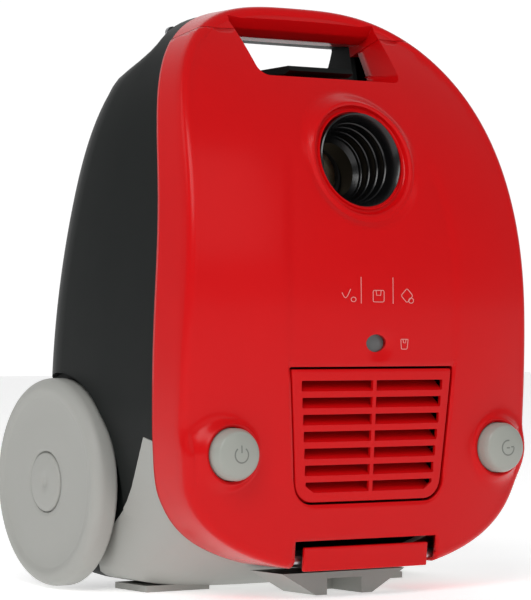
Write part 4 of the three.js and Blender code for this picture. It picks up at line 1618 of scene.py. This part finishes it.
@dataclass(frozen=True)
class Wheels:
    """The two big wheels with their hub caps, and the caster's tyre."""

    shop: Workshop
    chassis: Chassis
    radius: float = 65.2
    width: float = 16.5
    bore: float = 5.3
    hub: float = 18.5

    def build(self) -> None:
        """Builds both sides and the tyre."""
        for name, side, body in (("left", -1, Body.LEFT_WHEEL), ("right", 1, Body.RIGHT_WHEEL)):
            self._wheel(name, side, body)
        half = 6.5
        rim = [(9, half), (9.6, half - 1), (11, half - 1), (11.6, half)]
        rim += [(13.8, half - 0.3), (15.2, half - 2)]
        profile = [(2.4, -half)] + [(radius, -level) for radius, level in rim]
        profile += [(15.5, 0), *reversed(rim), (2.4, half), (2.4, -half)]
        mesh = self.shop.turned("x", profile, self.shop.datum.centre("caster_wheel"), 64)
        self.shop.piece("caster_tyre", mesh, RUBBER, Body.CASTER_TYRE, ["caster_wheel"])

    def _wheel(self, name: str, side: int, body: Body) -> None:
        """Builds one wheel and its hub cap.

        Args:
            name: The side's name.
            side: -1 for left and 1 for right.
            body: The wheel's body.
        """
        radius, width, tread, crown = self.radius, self.width, 3, 7
        profile = [(self.bore, 0)]
        for turn in (math.radians(22.5 * i) for i in range(5)):
            profile.append((radius - tread + tread * math.sin(turn), tread - tread * math.cos(turn)))
        for turn in (math.radians(11.25 * i) for i in range(9)):
            level = min(width, width - crown + crown * math.sin(turn))
            profile.append((radius - crown + crown * math.cos(turn), level))
        profile += [(radius - 9, width - 0.25), (radius - 10.5, width - 1.1), (radius - 12, width - 1.5)]
        profile += [(40, width - 1.25), (22, width - 1.2), (20, width - 1.3), (19.2, width - 1.9)]
        profile += [(19, width - 4), (self.bore, width - 4), (self.bore, 0)]
        cap = [(0, 13), (self.hub, 13), (self.hub, 15.0), (self.hub - 0.4, 15.6), (self.hub - 1.2, 15.9)]
        cap += [(8, 16.1), (4.2, 16.1), (3.4, 15.7), (2.4, 15.0), (0, 14.8)]
        base = side * (self.chassis.wheel_x - width)
        centre = (0, self.chassis.wheel_y, self.chassis.wheel_z)
        parts = (("road_wheel", "wheel", profile, 160), ("hub_disc", "hub_cap", cap, 96))
        for piece, node, shape, sides in parts:
            mesh = self.shop.turned("x", [(r, base + side * level) for r, level in shape], centre, sides)
            self.shop.piece(f"{piece}_{name}", mesh, GREY, body, [f"{node}_{name}"], 50)


@dataclass(frozen=True)
class Buttons:
    """The two round push buttons with their signs, drawn darker as painted shade of engraved lines, and
    their springs.
    """

    shop: Workshop
    cover: Cover
    radius: float = 15.5
    top: float = -3.0

    def dome(self, reach: float) -> float:
        """Returns the dome's depth at a distance from its axis."""
        share = reach / self.radius
        return self.top + 3.2 * share**2.4 + 2.8 * smooth((share - 0.86) / 0.14) ** 1.5

    def build(self) -> None:
        """Builds both buttons."""
        for name, side, body in (("power", -1, Body.POWER), ("rewind", 1, Body.REWIND)):
            centre = (side * self.cover.button_x, 0, self.cover.button_z)
            rise = [(self.radius * i / 24, self.dome(self.radius * i / 24)) for i in range(25)]
            profile = [*rise, (self.radius, 15), (3.5, 15), (3.5, 72), (0, 72)]
            mesh = self.shop.turned("y", profile, centre, 96)
            self.shop.piece(f"{name}_dome", mesh, BUTTON, body, [f"{name}_button"], 50)
            self._sign(name, centre, body)
            self._spring(name, centre)

    def _sign(self, name: str, centre: Point, body: Body) -> None:
        """Lays a ring with a bar, or an arrow round a plug dot, in a darker grey that is painted shade
        standing in for engraved lines.

        Args:
            name: The button's name.
            centre: Its axis.
            body: Its body.
        """
        turn = math.radians(90 if name == "power" else 40)
        opening = math.radians(38)
        arc = [opening + (2 * math.pi - 2 * opening) * i / 40 for i in range(41)]
        paths = [[(4.6 * math.cos(turn + t), 4.6 * math.sin(turn + t)) for t in arc]]
        if name == "power":
            paths.append([(0.0, 1.2 + 4.4 * i / 8) for i in range(9)])
        else:
            tip = paths[0][-1]
            paths.append([(tip[0] - 2.2 + 0.275 * i, tip[1] + 0.4) for i in range(9)])
            paths.append([(-1.2 + 0.3 * i, 0.0) for i in range(9)])
        skin = self.shop.skin()
        for path in paths:
            self._stroke(skin, path, centre)
        # The signs' darker grey is painted groove shade, not a different plastic.
        self.shop.piece(f"{name}_sign", skin.mesh("sign"), GROOVE_SHADE, body)

    def _stroke(self, skin: Skin, path: list[Flat], centre: Point) -> None:
        """Adds one line of a sign as a flat ribbon that barely stands off the dome.

        Args:
            skin: The sign's skin.
            path: The line's points.
            centre: The button's axis.
        """

        def place(x: float, z: float, lift: float) -> Point:
            """Returns a point that lies that far off the dome."""
            level = self.dome(math.hypot(x, z)) + lift + 0.02
            return centre[0] + x, level, centre[2] + z

        rows = skin.ribbon(path, False, 0.42, (0.0, -0.06), place)
        skin.faces.extend((tuple(rows[0]), tuple(rows[-1])))

    def _spring(self, name: str, centre: Point) -> None:
        """Winds a smooth return spring in place of the faceted one.

        Args:
            name: The button's name.
            centre: Its axis.
        """
        low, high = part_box(f"{name}_button_spring")
        start = low.y / MM + self.shop.datum.depth_middle
        end = high.y / MM + self.shop.datum.depth_middle
        wire, radius, turns, steps = 0.8, 8.0, 4, 28
        skin = self.shop.skin()
        rows = []
        for i in range(turns * steps + 1):
            angle = 2 * math.pi * i / steps
            level = lerp(start + wire, end - wire, i / (turns * steps))
            row = []
            for k in range(8):
                around = 2 * math.pi * k / 8
                reach = radius + wire * math.cos(around)
                x, z = centre[0] + reach * math.cos(angle), centre[2] + reach * math.sin(angle)
                row.append((x, level + wire * math.sin(around), z))
            rows.append(skin.row(row))
        skin.rows(rows)
        skin.faces.extend((tuple(rows[0]), tuple(rows[-1])))
        self.shop.piece(f"{name}_coil", skin.mesh("coil"), STEEL, Body.LID, [f"{name}_button_spring"])


# ------------------------------------------------------------------ signs on the face


@dataclass(frozen=True)
class Signs:
    """Small generic signs printed on the cover: three in a row and one more beside the eye."""

    shop: Workshop
    cover: Cover

    def build(self) -> None:
        """Builds the print."""
        skin = self.shop.skin()
        hose = [(-26 + 0.9 * i, 184.5 - 3.2 * math.sin(0.55 * i)) for i in range(8)]
        self._line(skin, hose, False)
        self._line(skin, round_loop(-17.6, 180.4, 1.8, 1.4, 16), True)
        self._line(skin, rounded([(-3.2, 179, 1), (5, 179, 1), (5, 186, 1), (-3.2, 186, 1)], 3), True)
        self._line(skin, [(-1, 186), (-0.6, 183), (2.4, 183), (2.8, 186)], False)
        diamond = [(22.4, 178.6, 1), (27, 183, 1), (22.4, 187.4, 1), (17.8, 183, 1)]
        self._line(skin, rounded(diamond, 3), True)
        self._line(skin, round_loop(25.6, 180, 1.9, 1.6, 16), True)
        for x in (-12.0, 11.8):
            self._line(skin, [(x, 178), (x, 194)], False)
        bag = [(18.8, 150.4, 0.8), (23.2, 150.4, 0.8), (23.8, 156.4, 0.4), (18.2, 156.4, 0.4)]
        self._line(skin, rounded(bag, 3), True)
        self._line(skin, [(19.8, 156.4), (20.4, 154.2), (21.8, 154.2), (22.3, 156.4)], False)
        self.shop.piece("face_signs", skin.mesh("signs"), PRINT, Body.LID)

    def _line(self, skin: Skin, path: list[Flat], closed: bool) -> None:
        """Adds a thin raised line on the face.

        Args:
            skin: The print's skin.
            path: The line's points.
            closed: Whether it is a loop.
        """

        def place(x: float, z: float, lift: float) -> Point:
            """Returns a point that lies that far behind the face."""
            return x, self.cover.relief(x, z) + lift, z

        skin.ribbon(path, closed, 0.2, (0.3, -0.2), place)


# ------------------------------------------------------------------ insides


@dataclass(frozen=True)
class Insides:
    """The paper bag, the filters and the finishes of the parts that keep their CAD shape."""

    shop: Workshop
    frame: dict

    def _body(self, node: str) -> str:
        """Returns the body that a CAD node belongs to."""
        groups = self.frame["record"]["behaviour"]["bodies"]
        return next(body for body, members in groups.items() if node in members)

    def _cushion(
        self, node: str, name: str, finish: Finish, power: float, rough: float
    ) -> None:
        """Builds a soft piece in a CAD node's box.

        Args:
            node: The node it stands for.
            name: The piece's name.
            finish: Its finish.
            power: The roundness: 1 is an ellipsoid and small values are boxy.
            rough: How deep its wrinkles go, in metres.
        """
        low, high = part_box(node)
        middle, half = (low + high) / 2, (high - low) / 2
        work = bmesh.new()
        bmesh.ops.create_cube(work, size=2.0)
        bmesh.ops.subdivide_edges(work, edges=work.edges[:], cuts=40, use_grid_fill=True)
        for vert in work.verts:
            away = vert.co.normalized()
            spot = Vector([math.copysign(abs(c) ** power, c) for c in away])
            limit = max(abs(c) for c in spot)
            spot = spot / limit * lerp(limit, 1.0, 0.6) if limit > 1 else spot
            wrinkle = noise.fractal(spot * 3.2, 0.9, 2.1, 4) * rough
            place = Vector([spot[i] * (half[i] - rough) for i in range(3)])
            vert.co = middle + place + place.normalized() * wrinkle
        mesh = bpy.data.meshes.new(name)
        work.to_mesh(mesh)
        work.free()
        made = self.shop.piece(name, mesh, finish, self._body(node), [node], 80)

    def build(self) -> None:
        """Builds the soft pieces and dresses the rest."""
        self._cushion("dust_bag", "paper_bag", PAPER, 0.5, 0.004)
        self._cushion("motor_filter", "motor_foam", FOAM, 0.16, 0.0006)
        self._cushion("exhaust_filter", "exhaust_foam", FOAM, 0.16, 0.0006)
        slots = {part["node"]: part["material_slot"] for part in self.frame["record"]["subparts"]}
        for name, node in self.frame["nodes"].items():
            finish = FINISHES[Slot(slots[name])]
            node.data.materials.clear()
            node.data.materials.append(finish.material())


# ------------------------------------------------------------------ studio


@dataclass(frozen=True)
class Studio:
    """A pale sweep, soft lamps and the camera."""

    camera_at: Point = (-0.977, -1.46435, 0.156)
    azimuth: float = -33.575
    rise: float = 0.832
    lens: float = 165.0
    front_light: float = 0.3
    back_light: float = 1.05

    def aim(self) -> Vector:
        """Returns the camera's direction."""
        turn, lift = math.radians(self.azimuth), math.radians(self.rise)
        return Vector((-math.sin(turn) * math.cos(lift), math.cos(turn) * math.cos(lift), math.sin(lift)))

    def build(self) -> None:
        """Builds floor, backdrop, lamps, world and camera."""
        self._floor()
        self._lamp("key", (-1.7, -1.5, 2.0), 1.5, 36.0)
        self._lamp("fill", (0.0, -2.6, 1.6), 2.0, 9.5)
        self._lamp("rim", (-1.9, 0.9, 1.6), 1.2, 5.0)
        self._world()
        self._camera()

    def _floor(self) -> None:
        """Lays the pale floor."""
        skin = Skin(Datum(0.0))
        reach = 9000.0
        corners = [(-reach, -reach, 0), (reach, -reach, 0), (reach, reach, 0), (-reach, reach, 0)]
        skin.faces.append(tuple(skin.row(corners)))
        mesh = skin.mesh("floor")
        made = bpy.data.objects.new("floor", mesh)
        bpy.context.scene.collection.objects.link(made)
        finish = Finish("floor", Slot.WHITE, (0.9, 0.9, 0.9), 0.99, 0.7, 0.02, specular=0.2, glow=0.5)
        mesh.materials.append(finish.material())

    def _lamp(self, name: str, place: Point, size: float, power: float) -> None:
        """Hangs one soft lamp that faces the object.

        Args:
            name: The lamp's name.
            place: Where it hangs.
            size: Its side in metres.
            power: Its power in watts.
        """
        light = bpy.data.lights.new(name, "AREA")
        light.size = size
        light.energy = power
        made = bpy.data.objects.new(name, light)
        made.location = place
        aim = Vector((0, 0, 0.18)) - Vector(place)
        made.rotation_euler = aim.to_track_quat("-Z", "Y").to_euler()
        bpy.context.scene.collection.objects.link(made)

    def _world(self) -> None:
        """Makes the surroundings white behind the object and dimmer in front of it."""
        tree = Tree(bpy.data.worlds.new("studio"))
        direction = tree.node("ShaderNodeTexCoord", output="Generated")
        dot = {"operation": "DOT_PRODUCT"}
        along = tree.node("ShaderNodeVectorMath", dot, {0: direction, 1: self.aim()}, "Value")
        limits = dict(enumerate((0.55, 0.85, self.front_light, self.back_light), 1))
        strength = tree.node("ShaderNodeMapRange", inputs={0: along, **limits})
        white = (1.0, 1.0, 1.0, 1.0)
        light = tree.node("ShaderNodeBackground", inputs={"Color": white, "Strength": strength})
        bpy.context.scene.world = tree.finish(light)
        bpy.context.scene.view_settings.view_transform = "Standard"

    def _camera(self) -> None:
        """Sets the camera at the fitted place."""
        data = bpy.data.cameras.new("camera")
        data.lens = self.lens
        data.sensor_width = 36.0
        data.sensor_fit = "AUTO"
        made = bpy.data.objects.new("camera", data)
        made.location = self.camera_at
        made.rotation_euler = self.aim().to_track_quat("-Z", "Y").to_euler()
        bpy.context.scene.collection.objects.link(made)
        bpy.context.scene.camera = made


def main() -> None:
    """Builds the whole scene."""
    logging.basicConfig(level=logging.INFO, format="%(message)s")
    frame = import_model()
    low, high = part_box("wheel_left")
    shop = Workshop(Datum(Chassis.wheel_y - (low.y + high.y) / (2 * MM)))
    form = Form()
    insides = Insides(shop, frame)
    cover = Cover(shop, form)
    chassis = Chassis(shop, form, cover)
    insides.build()
    cover.build()
    chassis.build()
    Wheels(shop, chassis).build()
    Buttons(shop, cover).build()
    Signs(shop, cover).build()
    Studio().build()


if __name__ == "__main__":
    main()
